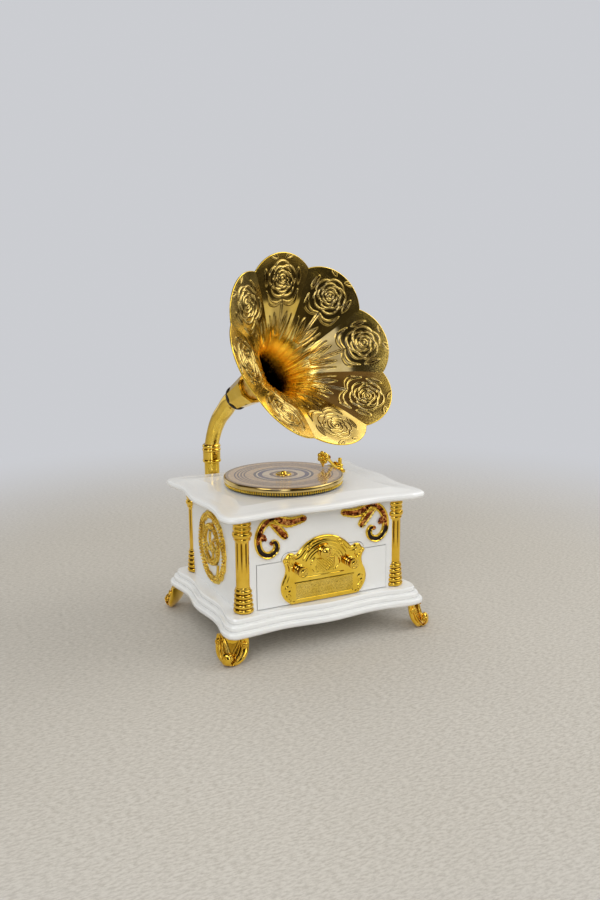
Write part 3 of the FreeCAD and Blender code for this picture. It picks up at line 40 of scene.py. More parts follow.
# Horn: a frame whose Z is the horn's axis and whose X is its upper side
HORN_BASE = Vector((-30.6, 60.0, 125.4))
HORN_AZIMUTH, HORN_ELEVATION = -74.2, 26.3
HORN_TURN = -47.4
PETALS = 8
NOTCH_S, TIP_S = 111.5, 116.05
BELL_POINTS = [(6.3, 42.5), (6.9, 50.0), (9.5, 65.0), (15.0, 80.0), (23.5, 92.0), (33.5, 101.0),
               (42.5, 106.9), (50.3, 111.6), (59.1, 116.4)]
SHEET = 0.9


# Shader nodes: each function adds nodes to the tree of the sockets it is given, and returns an output

def fill(socket, value):
    """Links a socket to a node's output or gives it a value. Colours come without their fourth number."""
    if isinstance(value, bpy.types.NodeSocket):
        socket.id_data.links.new(value, socket)
    elif socket.type == "RGBA":
        socket.default_value = (*value, 1.0)
    else:
        socket.default_value = value


def add_node(kind, inputs, output=0, tree=None, **settings):
    """Adds a node with its inputs and settings. A tree is named where no input comes from one."""
    for value in inputs.values():
        if isinstance(value, bpy.types.NodeSocket):
            tree = value.id_data
    node = tree.nodes.new("ShaderNode" + kind)
    for name, value in settings.items():
        setattr(node, name, value)
    for key, value in inputs.items():
        fill(node.inputs[key], value)
    return node.outputs[output]


def noise(source, scale, detail=3.0, roughness=0.55):
    inputs = {"Vector": source, "Scale": scale, "Detail": detail, "Roughness": roughness}
    return add_node("TexNoise", inputs, "Fac")


def ramp(source, stops):
    """Colours along a grey source; stops hold positions and colours."""
    node = source.id_data.nodes.new("ShaderNodeValToRGB")
    elements = node.color_ramp.elements
    while len(elements) < len(stops):
        elements.new(0.5)
    for element, (position, colour) in zip(elements, stops):
        element.position = position
        element.color = (*colour, 1.0)
    fill(node.inputs["Fac"], source)
    return node.outputs["Color"]


def grey_ramp(source, low, high, start=0.3, end=0.7):
    return ramp(source, [(start, (low,) * 3), (end, (high,) * 3)])


def smooth_range(value, low, high):
    inputs = {"Value": value, "From Min": low, "From Max": high}
    return add_node("MapRange", inputs, "Result", interpolation_type="SMOOTHSTEP")


def maths(operation, *values):
    return add_node("Math", dict(enumerate(values)), operation=operation)


def product(first, *factors):
    for factor in factors:
        first = maths("MULTIPLY", first, factor)
    return first


def vector_maths(operation, *values, output="Vector"):
    return add_node("VectorMath", dict(enumerate(values)), output, operation=operation)


def axes(source):
    node = source.id_data.nodes.new("ShaderNodeSeparateXYZ")
    fill(node.inputs[0], source)
    return node.outputs[:]


def radius_from(source, centre=(0, 0, 0)):
    """Distance from an upright line through centre, in metres."""
    shift = vector_maths("SUBTRACT", source, centre)
    flat = vector_maths("MULTIPLY", shift, (1, 1, 0))
    return vector_maths("LENGTH", flat, output="Value")


def place_of(tree):
    return add_node("TexCoord", {}, "Object", tree)


def attribute(tree, name, output="Fac"):
    return add_node("Attribute", {}, output, tree, attribute_name=name)


def colour_mix(share, first, second):
    return add_node("Mix", {0: share, 6: first, 7: second}, 2, data_type="RGBA")


def shader_mix(share, first, second):
    return add_node("MixShader", {0: share, 1: first, 2: second})


def bump(height, distance, strength, before=None):
    """Normal of a rough surface, on top of another bump where one is given."""
    inputs = {"Height": height, "Distance": distance, "Strength": strength}
    if before is not None:
        inputs["Normal"] = before
    return add_node("Bump", inputs, "Normal")


# Materials

def new_material(name):
    material = bpy.data.materials.new(name)
    material.use_nodes = True
    return material, material.node_tree


def set_surface(material, colour, roughness, normal, metallic=0.0, others=None):
    """Fills in the material's surface shader."""
    shader = material.node_tree.nodes["Principled BSDF"]
    inputs = {"Base Color": colour, "Roughness": roughness, "Normal": normal, "Metallic": metallic}
    for name, value in {**inputs, **(others or {})}.items():
        fill(shader.inputs[name], value)
    return material


# Painted shade: dark brown for the grooves of the feet and the flutes and ring creases of the columns.
GROOVE_SHADE = (0.07, 0.022, 0.004)


def gold_material(name, dark, light, rough, grain=0.0, grain_scale=2400, grain_height=0.0003,
                  groove_shaded=False):
    """Plated gold: slow colour drift, faint polishing marks and, where wanted, a granular skin or dark brown
    painted shade in the grooves, where the mesh has a groove attribute."""
    material, tree = new_material(name)
    place = place_of(tree)
    colour = ramp(noise(place, 90, 4), [(0.32, dark), (0.68, light)])
    # Painted shade: the groove attribute darkens the colour to dark brown.
    if groove_shaded:
        colour = colour_mix(attribute(tree, "groove"), colour, GROOVE_SHADE)
    marks = grey_ramp(noise(place, 700, 3), rough * 0.75, rough * 1.3)
    normal = bump(noise(place, 260, 2), 0.00012, 0.5)
    if grain:
        normal = bump(noise(place, grain_scale, 2, 0.7), grain_height, grain, normal)
    return set_surface(material, colour, marks, normal, 1.0)


def white_material(name, colour, rough, coat):
    """Polished white plastic with a slight orange-peel surface."""
    material, tree = new_material(name)
    place = place_of(tree)
    pale = tuple(min(1.0, c * 1.02) for c in colour)
    deep = tuple(c * 0.975 for c in colour)
    cloud = ramp(noise(place, 25, 3), [(0.35, deep), (0.65, pale)])
    speck = grey_ramp(noise(place, 420, 4), rough * 0.8, rough * 1.3)
    normal = bump(noise(place, 130, 2), 0.00008, 0.35)
    return set_surface(material, cloud, speck, normal, 0.0, {"Coat Weight": coat, "Coat Roughness": 0.06})


def plain_material(name, dark, light, rough, metallic=0.0, scale=300, relief=0.00005):
    """Even surface whose colour, gloss and height follow one fine grain."""
    material, tree = new_material(name)
    grain = noise(place_of(tree), scale, 4)
    colour = ramp(grain, [(0.3, dark), (0.7, light)])
    gloss = grey_ramp(grain, rough * 0.8, rough * 1.2)
    return set_surface(material, colour, gloss, bump(grain, relief, 0.6), metallic)


def horn_material():
    """Granular gold petals with painted shade beside the relief lines and round the roses, painted highlights
    on the relief tops, and an orange, finely ribbed throat painted near black deep inside.
    """
    material, tree = new_material("horn_gold")
    place = attribute(tree, "place", "Vector")
    relief, shade = attribute(tree, "relief"), attribute(tree, "shade")
    x, y, _ = axes(place)
    angle = maths("ARCTAN2", y, x)
    radius = radius_from(place)
    around = {"X": maths("COSINE", angle), "Y": maths("SINE", angle), "Z": radius}
    streaks = noise(add_node("CombineXYZ", around), 24, 3, 0.6)
    petal = ramp(noise(place, 60, 4), [(0.3, (0.68, 0.47, 0.09)), (0.7, (0.84, 0.62, 0.18))])
    # Painted shade: the ground beside each relief line and inside the rose and spray is darkened to dark
    # brown.
    rising = grey_ramp(relief, 0.0, 1.0, 0.05, 0.22)
    falling = grey_ramp(relief, 1.0, 0.0, 0.42, 0.66)
    hollow = maths("MAXIMUM", product(rising, falling, 0.9), product(shade, falling, 0.55))
    petal = colour_mix(hollow, petal, (0.12, 0.068, 0.018))
    # Painted highlight: the tops of the relief lines are lightened to pale gold.
    petal = colour_mix(grey_ramp(relief, 0.0, 0.2, 0.6, 0.9), petal, (1.0, 0.90, 0.62))
    throat = ramp(streaks, [(0.32, (0.30, 0.12, 0.015)), (0.42, (0.88, 0.50, 0.06)),
                            (0.56, (1.0, 0.80, 0.24))])
    wander = product(maths("SUBTRACT", streaks, 0.5), 0.015)
    ragged_radius = maths("ADD", radius, wander)
    blend = grey_ramp(product(ragged_radius, 20.0), 0.0, 1.0, 0.40, 0.52)
    # Painted shade: the throat turns near black towards its narrow end.
    deep = grey_ramp(product(radius, 50.0), 1.0, 0.0, 0.42, 0.62)
    throat = colour_mix(deep, throat, (0.02, 0.016, 0.008))
    ribs = product(streaks, maths("SUBTRACT", 1.0, blend))
    outer = grey_ramp(product(radius, 10.0), 0.15, 1.0, 0.42, 0.54)
    patch = product(grey_ramp(noise(place, 28, 1), 0.1, 1.0, 0.45, 0.60), outer)
    grain = product(noise(place, 1500, 2, 0.7), patch)
    normal = bump(grain, 0.00032, 0.4, bump(ribs, 0.0006, 0.6))
    gloss = grey_ramp(noise(place, 900, 3), 0.08, 0.15)
    return set_surface(material, colour_mix(blend, throat, petal), gloss, normal, 1.0)


# The record's printed bands: radii where they begin and end
LINES_START, LINES_END, LINE_SPACING = 23.0, 31.2, 2.0
EDGE_START = 34.6


def record_material():
    """Printed disc: beige with dark groove rings, a violet band and a red-brown ring round the middle."""
    material, tree = new_material("record_print")
    place = place_of(tree)
    centre = (TURN_AXIS[0] * MM, TURN_AXIS[1] * MM, 0)
    share = maths("DIVIDE", radius_from(place, centre), RECORD_RADIUS * MM)
    beige, pale, ink = (0.70, 0.50, 0.29), (0.79, 0.65, 0.46), (0.050, 0.042, 0.055)
    violet, umber = (0.048, 0.034, 0.12), (0.09, 0.026, 0.012)
    bands = [(6.4, beige), (6.9, umber), (8.6, umber), (9.0, pale), (13.2, pale), (13.7, violet),
             (16.0, violet), (16.3, pale), (17.1, pale), (17.4, ink), (18.7, ink), (19.0, beige),
             (22.9, beige)]
    colour = ramp(share, [(r / RECORD_RADIUS, tint) for r, tint in bands])
    wave = maths("SINE", product(share, 2 * pi * RECORD_RADIUS / LINE_SPACING))
    within = product(maths("GREATER_THAN", share, LINES_START / RECORD_RADIUS),
                     maths("LESS_THAN", share, LINES_END / RECORD_RADIUS))
    lined = product(maths("GREATER_THAN", wave, 0.1), within, 0.95)
    colour = colour_mix(lined, colour, (0.065, 0.038, 0.045))
    edge = maths("GREATER_THAN", share, EDGE_START / RECORD_RADIUS)
    colour = colour_mix(product(edge, 0.7), colour, (0.20, 0.13, 0.07))
    stain = grey_ramp(noise(place, 140, 3), 0.0, 0.28, 0.4, 0.65)
    colour = colour_mix(stain, colour, (0.34, 0.22, 0.20))
    gloss = grey_ramp(noise(place, 500, 3), 0.07, 0.13)
    grooves = maths("SINE", product(share, 2 * pi * 60))
    return set_surface(material, colour, gloss, bump(grooves, 0.00004, 0.5), 0.15,
                       {"Coat Weight": 1.0, "Coat IOR": 1.75, "Coat Roughness": 0.02})


def textured_copper():
    """Dark red-brown casting with small bright lumps."""
    material, tree = new_material("lumpy_copper")
    lumps = noise(place_of(tree), 620, 2, 0.5)
    colour = ramp(lumps, [(0.38, (0.07, 0.014, 0.004)), (0.52, (0.36, 0.09, 0.025)),
                          (0.66, (0.85, 0.42, 0.12))])
    gloss = grey_ramp(lumps, 0.22, 0.10)
    return set_surface(material, colour, gloss, bump(lumps, 0.0008, 0.9), 1.0)


def make_materials():
    return {
        "gold_plate": gold_material("plated_gold", (0.80, 0.52, 0.045), (0.93, 0.66, 0.10), 0.09),
        # Painted reflection: dark brown-gold for the knobs' side bands.
        "amber": gold_material("knob_painted_reflection_gold", (0.11, 0.030, 0.006), (0.26, 0.085, 0.018), 0.08),
        # Gold of the feet and columns, with painted shade in their grooves.
        "fluted_gold": gold_material("fluted_gold", (0.70, 0.42, 0.035), (0.86, 0.57, 0.08), 0.08,
                                     groove_shaded=True),
        "mirror_gold": gold_material("mirror_gold", (0.71, 0.46, 0.045), (0.84, 0.58, 0.10), 0.05),
        "rim_gold": gold_material("rim_gold", (0.56, 0.41, 0.15), (0.70, 0.53, 0.20), 0.06),
        "gold_grain": gold_material("granular_gold", (0.60, 0.36, 0.03), (0.98, 0.72, 0.14), 0.12, 1.0, 620,
                                    0.0009),
        "gold_sand": gold_material("stippled_gold", (0.70, 0.48, 0.06), (0.88, 0.64, 0.14), 0.22, 0.8),
        "horn_back": gold_material("horn_back_gold", (0.66, 0.42, 0.08), (0.86, 0.60, 0.16), 0.18, 0.4),
        "copper": textured_copper(),
        "ink": plain_material("dark_channel", (0.010, 0.006, 0.004), (0.030, 0.016, 0.010), 0.16, 0.6),
        "horn": horn_material(),
        "white_lacquer": white_material("white_gloss", (0.82, 0.82, 0.80), 0.18, 0.35),
        "plain_plastic": white_material("plain_white", (0.74, 0.73, 0.70), 0.45, 0.0),
        "printed_disc": record_material(),
        "dark_ring": plain_material("dark_ring", (0.006, 0.004, 0.003), (0.016, 0.011, 0.009), 0.5),
        "brass": plain_material("machined_brass", (0.50, 0.35, 0.12), (0.72, 0.54, 0.22), 0.3, 1.0, 600),
        "steel": plain_material("ground_steel", (0.42, 0.42, 0.43), (0.66, 0.66, 0.67), 0.28, 1.0, 500),
        "cast_bed": plain_material("cast_bed", (0.40, 0.40, 0.41), (0.58, 0.58, 0.58), 0.5, 1.0, 220,
                                   0.0002),
    }


# Mesh helpers: a shape is a list of points and a list of faces

def grid_faces(rows, columns, closed=False, looped=False):
    """Faces of a grid of points. Closed joins its last column to the first, and looped its last row."""
    faces = []
    for i in range(rows if looped else rows - 1):
        a, b = i * columns, (i + 1) % rows * columns
        for j in range(columns if closed else columns - 1):
            k = (j + 1) % columns
            faces.append((a + j, a + k, b + k, b + j))
    return faces


def bar_faces(rows, columns, looped=False):
    """Faces round a bar, which has caps at its ends unless it is looped."""
    faces = grid_faces(rows, columns, True, looped)
    if not looped:
        last = (rows - 1) * columns
        faces += [tuple(range(columns))[::-1], tuple(last + j for j in range(columns))]
    return faces


def sheet(points, turn=1):
    """Shape from a grid of points; a turn of -1 makes its faces look the other way."""
    return points.reshape(-1, 3), [face[::turn] for face in grid_faces(*points.shape[:2])]


def join_parts(parts):
    points, faces = [], []
    for part_points, part_faces in parts:
        offset = len(points)
        points += [tuple(p) for p in part_points]
        faces += [tuple(i + offset for i in f) for f in part_faces]
    return points, faces


def add_object(name, data):
    item = bpy.data.objects.new(name, data)
    bpy.context.scene.collection.objects.link(item)
    return item


def make_piece(name, shape, finish, body, node, matrix=None, values=None, others=()):
    """Mesh object from a shape in millimetres that rides on a body and stands for a node. With a matrix,
    the points are moved by it and their own places stay with them as an attribute, next to any values.
    Others are the keys of further materials, for faces that are marked later."""
    points = np.asarray(shape[0], dtype=float) * MM
    placed = points
    if matrix is not None:
        placed = points @ np.array(matrix.to_3x3()).T + np.array(matrix.translation)
    mesh = bpy.data.meshes.new(name)
    mesh.from_pydata(placed.tolist(), [], shape[1])
    for key in (finish, *others):
        mesh.materials.append(materials[key])
    mesh.polygons.foreach_set("use_smooth", [True] * len(mesh.polygons))
    if matrix is not None:
        mesh.attributes.new("place", "FLOAT_VECTOR", "POINT").data.foreach_set("vector", points.ravel())
    for label, numbers in (values or {}).items():
        mesh.attributes.new(label, "FLOAT", "POINT").data.foreach_set("value", np.ravel(numbers))
    mesh.update()
    piece = add_object(name, mesh)
    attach(piece, body)
    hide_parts(node)
    return piece


def sharpen(piece, angle):
    """Keeps edges crisp where faces meet at more than the angle, in degrees."""
    bpy.context.view_layer.objects.active = piece
    piece.select_set(True)
    bpy.ops.object.shade_smooth_by_angle(angle=radians(angle))
    piece.select_set(False)


def axes_matrix(x_axis, y_axis, z_axis, place):
    """Turns and moves local points; place is in millimetres."""
    matrix = Matrix((x_axis, y_axis, z_axis)).transposed().to_4x4()
    matrix.translation = Vector(place) * MM
    return matrix


def spline(points, count):
    """Catmull-Rom curve through the points, evenly spaced in its parameter."""
    p = np.asarray(points, dtype=float)
    p = np.vstack([2 * p[0] - p[1], p, 2 * p[-1] - p[-2]])
    t = np.linspace(0, len(points) - 1, count)
    i = np.minimum(t.astype(int), len(points) - 2)
    f = (t - i)[:, None]
    a, b, c, d = p[i], p[i + 1], p[i + 2], p[i + 3]
    square, cube = 2 * a - 5 * b + 4 * c - d, 3 * b - a - 3 * c + d
    return 0.5 * ((2 * b) + (c - a) * f + square * f ** 2 + cube * f ** 3)


def spread(values, count):
    """The values stretched out evenly over count places."""
    return np.interp(np.linspace(0, 1, count), np.linspace(0, 1, len(values)), values)


def polar(radius, angles):
    return np.column_stack([radius * np.cos(angles), radius * np.sin(angles)])


def mirrored(sign, points):
    return [(sign * x, y) for x, y in points]


def ridge(distance, width):
    return np.exp(-(distance / width) ** 2)


def tangents(path, closed=False):
    along = np.roll(path, -1, 0) - np.roll(path, 1, 0) if closed else np.gradient(path, axis=0)
    return along / np.linalg.norm(along, axis=1, keepdims=True)


def lathe(profile, columns=96, centre=(0.0, 0.0)):
    """Turned shape about an upright line: profile holds (radius, height) pairs."""
    x, y = centre
    angles = np.linspace(0, 2 * pi, columns, endpoint=False)
    points = [(r * cos(a) + x, r * sin(a) + y, z) for r, z in profile for a in angles]
    return points, grid_faces(len(profile), columns, closed=True)


def ellipsoid(centre, size, rows=14, columns=24):
    half_circle = [(max(sin(t), 1e-3), -cos(t)) for t in np.linspace(0, pi, rows)]
    points, faces = lathe(half_circle, columns)
    return np.asarray(points) * size + np.asarray(centre), faces


def tube(path, radius, sides=10, closed=False):
    """Round bar along a path; radius may change along it."""
    path = np.asarray(path, dtype=float)
    tangent = tangents(path, closed)
    side = np.cross(tangent[0], (0.3, 0.2, 1.0))
    side /= np.linalg.norm(side)
    points = []
    for p, t, r in zip(path, tangent, np.broadcast_to(radius, len(path))):
        side = side - t * np.dot(side, t)
        side /= np.linalg.norm(side)
        up = np.cross(t, side)
        for j in range(sides):
            a = 2 * pi * j / sides
            points.append(p + r * (cos(a) * side + sin(a) * up))
    return np.asarray(points), bar_faces(len(path), sides, closed)


def stroke_distance(a, b, stroke):
    """Distance from every point (a, b) to a line through the stroke's points."""
    best = np.full(a.shape, 1e9)
    for (x0, y0), (x1, y1) in zip(stroke[:-1], stroke[1:]):
        dx, dy = x1 - x0, y1 - y0
        length = max(dx * dx + dy * dy, 1e-9)
        t = np.clip(((a - x0) * dx + (b - y0) * dy) / length, 0, 1)
        best = np.minimum(best, np.hypot(a - x0 - t * dx, b - y0 - t * dy))
    return best


def arc_stroke(x, y, radius, start, end, count=14):
    return polar(radius, np.radians(np.linspace(start, end, count))) + (x, y)


# Rose relief, in a plane whose second axis points to the rim. A stroke is a line, a width and a height.

ROSE_RINGS = [(11.0, 5, 18), (8.1, 5, 54), (5.4, 4, 20), (3.1, 3, 50)]
ROSE_LIP = 0.5
# Right half of the spray, for both sides: lines with their point counts, and leaves with their lean
SPRAY_LINES = [([(0.6, -12.2), (4.6, -13.2), (8.6, -11.6), (12.2, -6.6)], 16, 0.36, 0.9),
               ([(0.6, -13.6), (5.4, -15.4), (10.4, -13.4), (12.2, -6.6)], 16, 0.34, 0.7),
               ([(3.2, -38), (5.8, -30), (8.6, -21)], 12, 0.34, 0.7)]
SPRAY_LEAVES = [(12.4, -3.0, 2, 9.0, 2.8), (3.4, 12.0, 62, 7.6, 2.6), (1.6, -34.0, 13, 15.0, 2.8)]
STEM_LINES = [[(-0.5, -13), (-0.3, -22), (-0.4, -34)], [(0.9, -13), (0.8, -22), (0.5, -34)]]


def rose_strokes():
    """Garden rose seen from above: a spiral bud inside rings of overlapping petals."""
    turns = np.linspace(0, 1.8 * pi, 24)
    strokes = [(polar(0.3 + 0.26 * turns, turns), 0.40, 0.9)]
    for tip, count, turn in ROSE_RINGS:
        half = pi / count
        notch = 0.86 * tip
        chord_x, chord_y = notch * cos(half), notch * sin(half)
        radius = ((tip - chord_x) ** 2 + chord_y ** 2) / (2 * (tip - chord_x))
        out = tip - radius - ROSE_LIP
        reach = degrees(atan2(chord_y, chord_x - out - ROSE_LIP))
        for k in range(count):
            angle = turn + 360 * k / count
            x, y = out * cos(radians(angle)), out * sin(radians(angle))
            strokes.append((arc_stroke(x, y, radius, angle - reach, angle + reach + 24), 0.33, 1.0))
    return strokes


def leaf_strokes(x, y, angle, length, width):
    """Pointed leaf: two curved sides and a midrib."""
    t = np.linspace(0, 1, 12)
    side = width / 2 * np.sin(pi * t) ** 0.8
    ca, sa = cos(radians(angle)), sin(radians(angle))
    strokes = []
    for sign, height in ((1, 0.8), (-1, 0.8), (0, 0.45)):
        u, w = length * t, sign * side
        strokes.append((np.column_stack([x + u * ca - w * sa, y + u * sa + w * ca]), 0.30, height))
    return strokes


def petal_strokes():
    """Rose, its outer leaves, and a stem with two leaf sprays under it."""
    strokes = rose_strokes()
    for sign in (-1, 1):
        for line, count, width, height in SPRAY_LINES:
            strokes.append((spline(mirrored(sign, line), count), width, height))
        for x, y, lean, length, width in SPRAY_LEAVES:
            strokes += leaf_strokes(sign * x, y, 90 - sign * lean, length, width)
    return strokes + [(spline(line, 12), 0.33, 0.9) for line in STEM_LINES]


def petal_relief(a, b):
    """Height of the pressed pattern, 0 to about 1."""
    height = np.zeros(a.shape)
    for stroke, width, level in petal_strokes():
        low, high = stroke.min(0) - 2, stroke.max(0) + 2
        near = (a > low[0]) & (a < high[0]) & (b > low[1]) & (b < high[1])
        if near.any():
            d = stroke_distance(a[near], b[near], stroke)
            height[near] = np.maximum(height[near], level * ridge(d, width))
    return height


# Horn

def horn_matrix():
    axis = heading(HORN_AZIMUTH, HORN_ELEVATION)
    azimuth = radians(HORN_AZIMUTH)
    across = Vector((-sin(azimuth), cos(azimuth), 0))
    return axes_matrix(axis.cross(across), across, axis, HORN_BASE)


def petal_grid(k, rows, columns):
    """Plain inner surface of one petal: points, and where each lies across and along the petal."""
    radii, heights = spline(BELL_POINTS, 400).T
    lengths = np.concatenate([[0], np.cumsum(np.hypot(np.diff(radii), np.diff(heights)))])
    u = np.linspace(-1, 1, columns)
    u = 0.94 * u + 0.06 * u ** 3
    rim = NOTCH_S + (TIP_S - NOTCH_S) * (1 - u ** 2) ** 0.96
    reach = np.interp(rim, heights, lengths)
    v = np.linspace(0, 1, rows)[:, None] ** 0.66
    along = reach[None, :] * v
    s = np.interp(along, lengths, heights)
    r = np.interp(along, lengths, radii)
    local = np.radians(180 / PETALS) * u[None, :] * np.ones_like(v)
    facet = np.clip((s - 84) / 16, 0, 1)
    facet = 0.85 * facet * facet * (3 - 2 * facet)
    r_here = r * (1 + facet * (1 / np.cos(local) - 1))
    theta = radians(HORN_TURN + 360 / PETALS * k) + local
    points = np.stack([r_here * np.cos(theta), r_here * np.sin(theta), s], axis=-1)
    rose_middle = lengths[-1] - 15.6
    return points, r_here * local, along - rose_middle


def surface_normals(points):
    """Normals of a grid of points, turned towards the horn's axis."""
    normal = np.cross(np.gradient(points, axis=1), np.gradient(points, axis=0))
    normal /= np.linalg.norm(normal, axis=-1, keepdims=True) + 1e-12
    inward = -points * (1, 1, 0)
    flip = np.sum(normal * inward, axis=-1, keepdims=True) < 0
    return np.where(flip, -normal, normal)


def throat_ribs(points):
    """Fine grooves that run out of the throat and fade on the petals."""
    angle = np.arctan2(points[..., 1], points[..., 0])
    s = points[..., 2]
    fade = np.clip((s - 62) / 10, 0, 1) * np.clip((86 - s) / 11, 0, 1)
    uneven = 0.6 + 0.4 * np.sin(5 * angle + 1.3) * np.sin(13 * angle)
    return 0.18 * fade * uneven * np.sin(88 * angle + 0.9 * np.sin(7 * angle))


def horn_bell():
    """Pressed sheet with eight petals: relief side, back side and a rolled rim."""
    rows, columns = 240, 140
    coarse = (slice(None, None, 5), slice(None, None, 3))
    edge_fade = np.clip((1 - np.abs(np.linspace(-1, 1, columns))) / 0.05, 0, 1)[None, :]
    fronts, backs, rim, reliefs, shades = [], [], [], [], []
    for k in range(PETALS):
        plain, across, outward = petal_grid(k, rows, columns)
        normals = surface_normals(plain)
        relief = petal_relief(across, outward) * edge_fade
        # Rose and spray masks, kept as the shade attribute, where the horn's material paints shade on the
        # ground.
        in_rose = 1 / (1 + np.exp((np.hypot(across, outward) - 14.0) * 1.4))
        in_spray = 0.8 / (1 + np.exp((np.abs(across) - 7.0) * 1.2)) * (outward < -12)
        fronts.append(sheet(plain + normals * (0.6 * relief + throat_ribs(plain))[..., None]))
        lift = 0.5 * relief[coarse][..., None]
        backs.append(sheet(plain[coarse] - normals[coarse] * SHEET + normals[coarse] * lift, -1))
        reliefs.append(relief)
        shades.append(np.maximum(in_rose, in_spray))
        rim += (plain[-1, :-1:2] - normals[-1, :-1:2] * SHEET / 2).tolist()
    matrix = horn_matrix()
    make_piece("horn_bell_front", join_parts(fronts), "horn", "horn", "horn_bell", matrix=matrix,
               values={"relief": reliefs, "shade": shades})
    make_piece("horn_bell_back", join_parts(backs), "horn_back", "horn", "horn_bell", matrix=matrix)
    make_piece("horn_rim", tube(rim, 0.47, 8, closed=True), "gold_plate", "horn", "horn_bell", matrix=matrix)


def stem():
    """Gooseneck that widens from the collar to the washer, and the washer's dark ring."""
    axis = horn_matrix().to_3x3() @ Vector((0, 0, 1))
    route = [(-30.4, 59.9, 105.3), (-29.5, 58.4, 111.6), (-28.5, 55.7, 118.2), (-27.3, 51.2, 124.6),
             (-25.9, 45.0, 130.4), tuple(HORN_BASE + axis * 25.0), tuple(HORN_BASE + axis * 31.8)]
    count = 70
    radius = np.interp(np.linspace(0, 1, count), [0, 0.25, 0.6, 1.0], [4.7, 4.9, 5.5, 6.1])
    make_piece("gooseneck", tube(spline(route, count), radius, 40), "mirror_gold", "horn", "horn_stem")
    ring = lathe([(5.6, 31.2), (7.6, 31.1), (8.0, 31.5), (8.0, 32.7), (7.6, 33.0), (5.6, 33.0)], 72)
    make_piece("neck_ring", ring, "dark_ring", "horn", "neck_washer", horn_matrix())


# Flat relief on the walls

def wall_band(path, widths, profile, base, closed=False):
    """Moulded strip on the front plane. profile gives height for each place across, -1 to 1."""
    path = np.asarray(path, dtype=float)
    tangent = tangents(path, closed)
    side = np.column_stack([-tangent[:, 1], tangent[:, 0]])
    points = []
    for p, n, h in zip(path, side, spread(widths, len(path)) / 2):
        for q, level in profile:
            x, z = p + n * h * q
            points.append((x, base - level, z))
    return points, grid_faces(len(path), len(profile), looped=closed)


# Half of the channel between two rims: place across and height
CHANNEL_HALF = [(1.0, 0.0), (1.0, 1.3), (0.86, 1.8), (0.7, 1.75), (0.56, 1.0), (0.25, 0.75)]
CHANNEL = mirrored(-1, CHANNEL_HALF) + CHANNEL_HALF[::-1]
CHANNEL_FLOOR = (4, 5, 6)
CHANNEL_STEPS = 90
# Bracket strips: name, middle line, widths, fillings and how wavy their edges are
BRACKET_STRIPS = [
    ("arm", [(35.0, 80.2), (29.0, 79.0), (23.0, 77.0), (17.0, 77.4), (11.6, 78.6)],
     [4.6, 6.0, 6.2, 5.0, 4.0], ["copper"], 0.04),
    ("leaf", [(33.6, 78.6), (30.4, 75.0), (27.2, 71.2), (24.2, 67.8)],
     [4.8, 5.2, 5.2, 4.6], ["copper"], 0.05),
    ("scroll", [(30.0, 80.6), (34.4, 80.0), (38.8, 77.0), (41.6, 72.0), (42.2, 66.4), (40.4, 61.4),
                (36.4, 58.9), (32.2, 60.2), (30.6, 63.6), (31.8, 66.2), (33.8, 65.8)],
     [4.4, 4.6, 4.6, 4.4, 4.2, 4.2, 4.2, 4.0, 3.8, 3.4, 2.6], ["copper"] * 2 + ["ink"] * 3, 0.0)]
BRACKET_BUDS = [(39.4, 70.0, 2.2), (37.9, 68.9, 1.2), (40.2, 72.0, 1.2), (13.0, 78.2, 1.5), (34.0, 66.0, 1.3),
                (25.4, 69.6, 1.2)]


def round_ends(widths, length):
    """Widths along a strip, closed off by a round end at its last point."""
    radius = widths[-1] / 2
    t = np.linspace(0, 1, CHANNEL_STEPS)
    into = np.clip((t - (1 - radius / length)) * length / radius, 0, 1)
    return spread(widths, CHANNEL_STEPS) * np.sqrt(np.clip(1 - into ** 2, 0.002, 1))


def channel_piece(name, path, widths, filling, ripple, side, node):
    """Strip with two gold rims and a hollow between them."""
    path = spline(path, CHANNEL_STEPS)
    length = np.hypot(*np.diff(path, axis=0).T).sum()
    wavy = 1 + ripple * np.sin(np.linspace(0, length * 2.4, CHANNEL_STEPS))
    path[:, 0] *= side
    shape = wall_band(path, round_ends(widths, length) * wavy, CHANNEL, WALL_FRONT_Y)
    piece = make_piece(name, shape, "gold_plate", "cabinet", node, others=filling)
    strips = len(CHANNEL) - 1
    for index, polygon in enumerate(piece.data.polygons):
        if index % strips in CHANNEL_FLOOR:
            share = index / (strips * (CHANNEL_STEPS - 1))
            polygon.material_index = 1 + min(int(share * len(filling)), len(filling) - 1)


def scroll_brackets():
    """C scrolls with a curled end, an arm along the deck, a short leaf and cast buds, on both sides."""
    bud_y, bud_depth = WALL_FRONT_Y - 1.1, 1.1
    for side, label in SIDES:
        node = "scroll_bracket_" + label
        for name, path, widths, filling, ripple in BRACKET_STRIPS:
            channel_piece("bracket_%s_%s" % (name, label), path, widths, filling, ripple, side, node)
        buds = [ellipsoid((side * x, bud_y, z), (size, bud_depth, size)) for x, z, size in BRACKET_BUDS]
        make_piece("bracket_buds_" + label, join_parts(buds), "copper", "cabinet", node)


def radial_plate(outline, centre, rings, height, base):
    """Star-shaped plate: rings of points from a centre out to an outline, lifted by a height function."""
    shares = np.linspace(0, 1, rings) ** 0.85
    shares[0] = 1e-3
    flat = np.asarray(centre) + shares[:, None, None] * (outline - np.asarray(centre))
    lift = height(flat[..., 0], flat[..., 1])
    points = np.stack([flat[..., 0], base - lift, flat[..., 1]], axis=-1).reshape(-1, 3).tolist()
    edge = [(x, base, z) for x, z in outline]
    return points + edge, grid_faces(rings + 1, len(outline), closed=True)


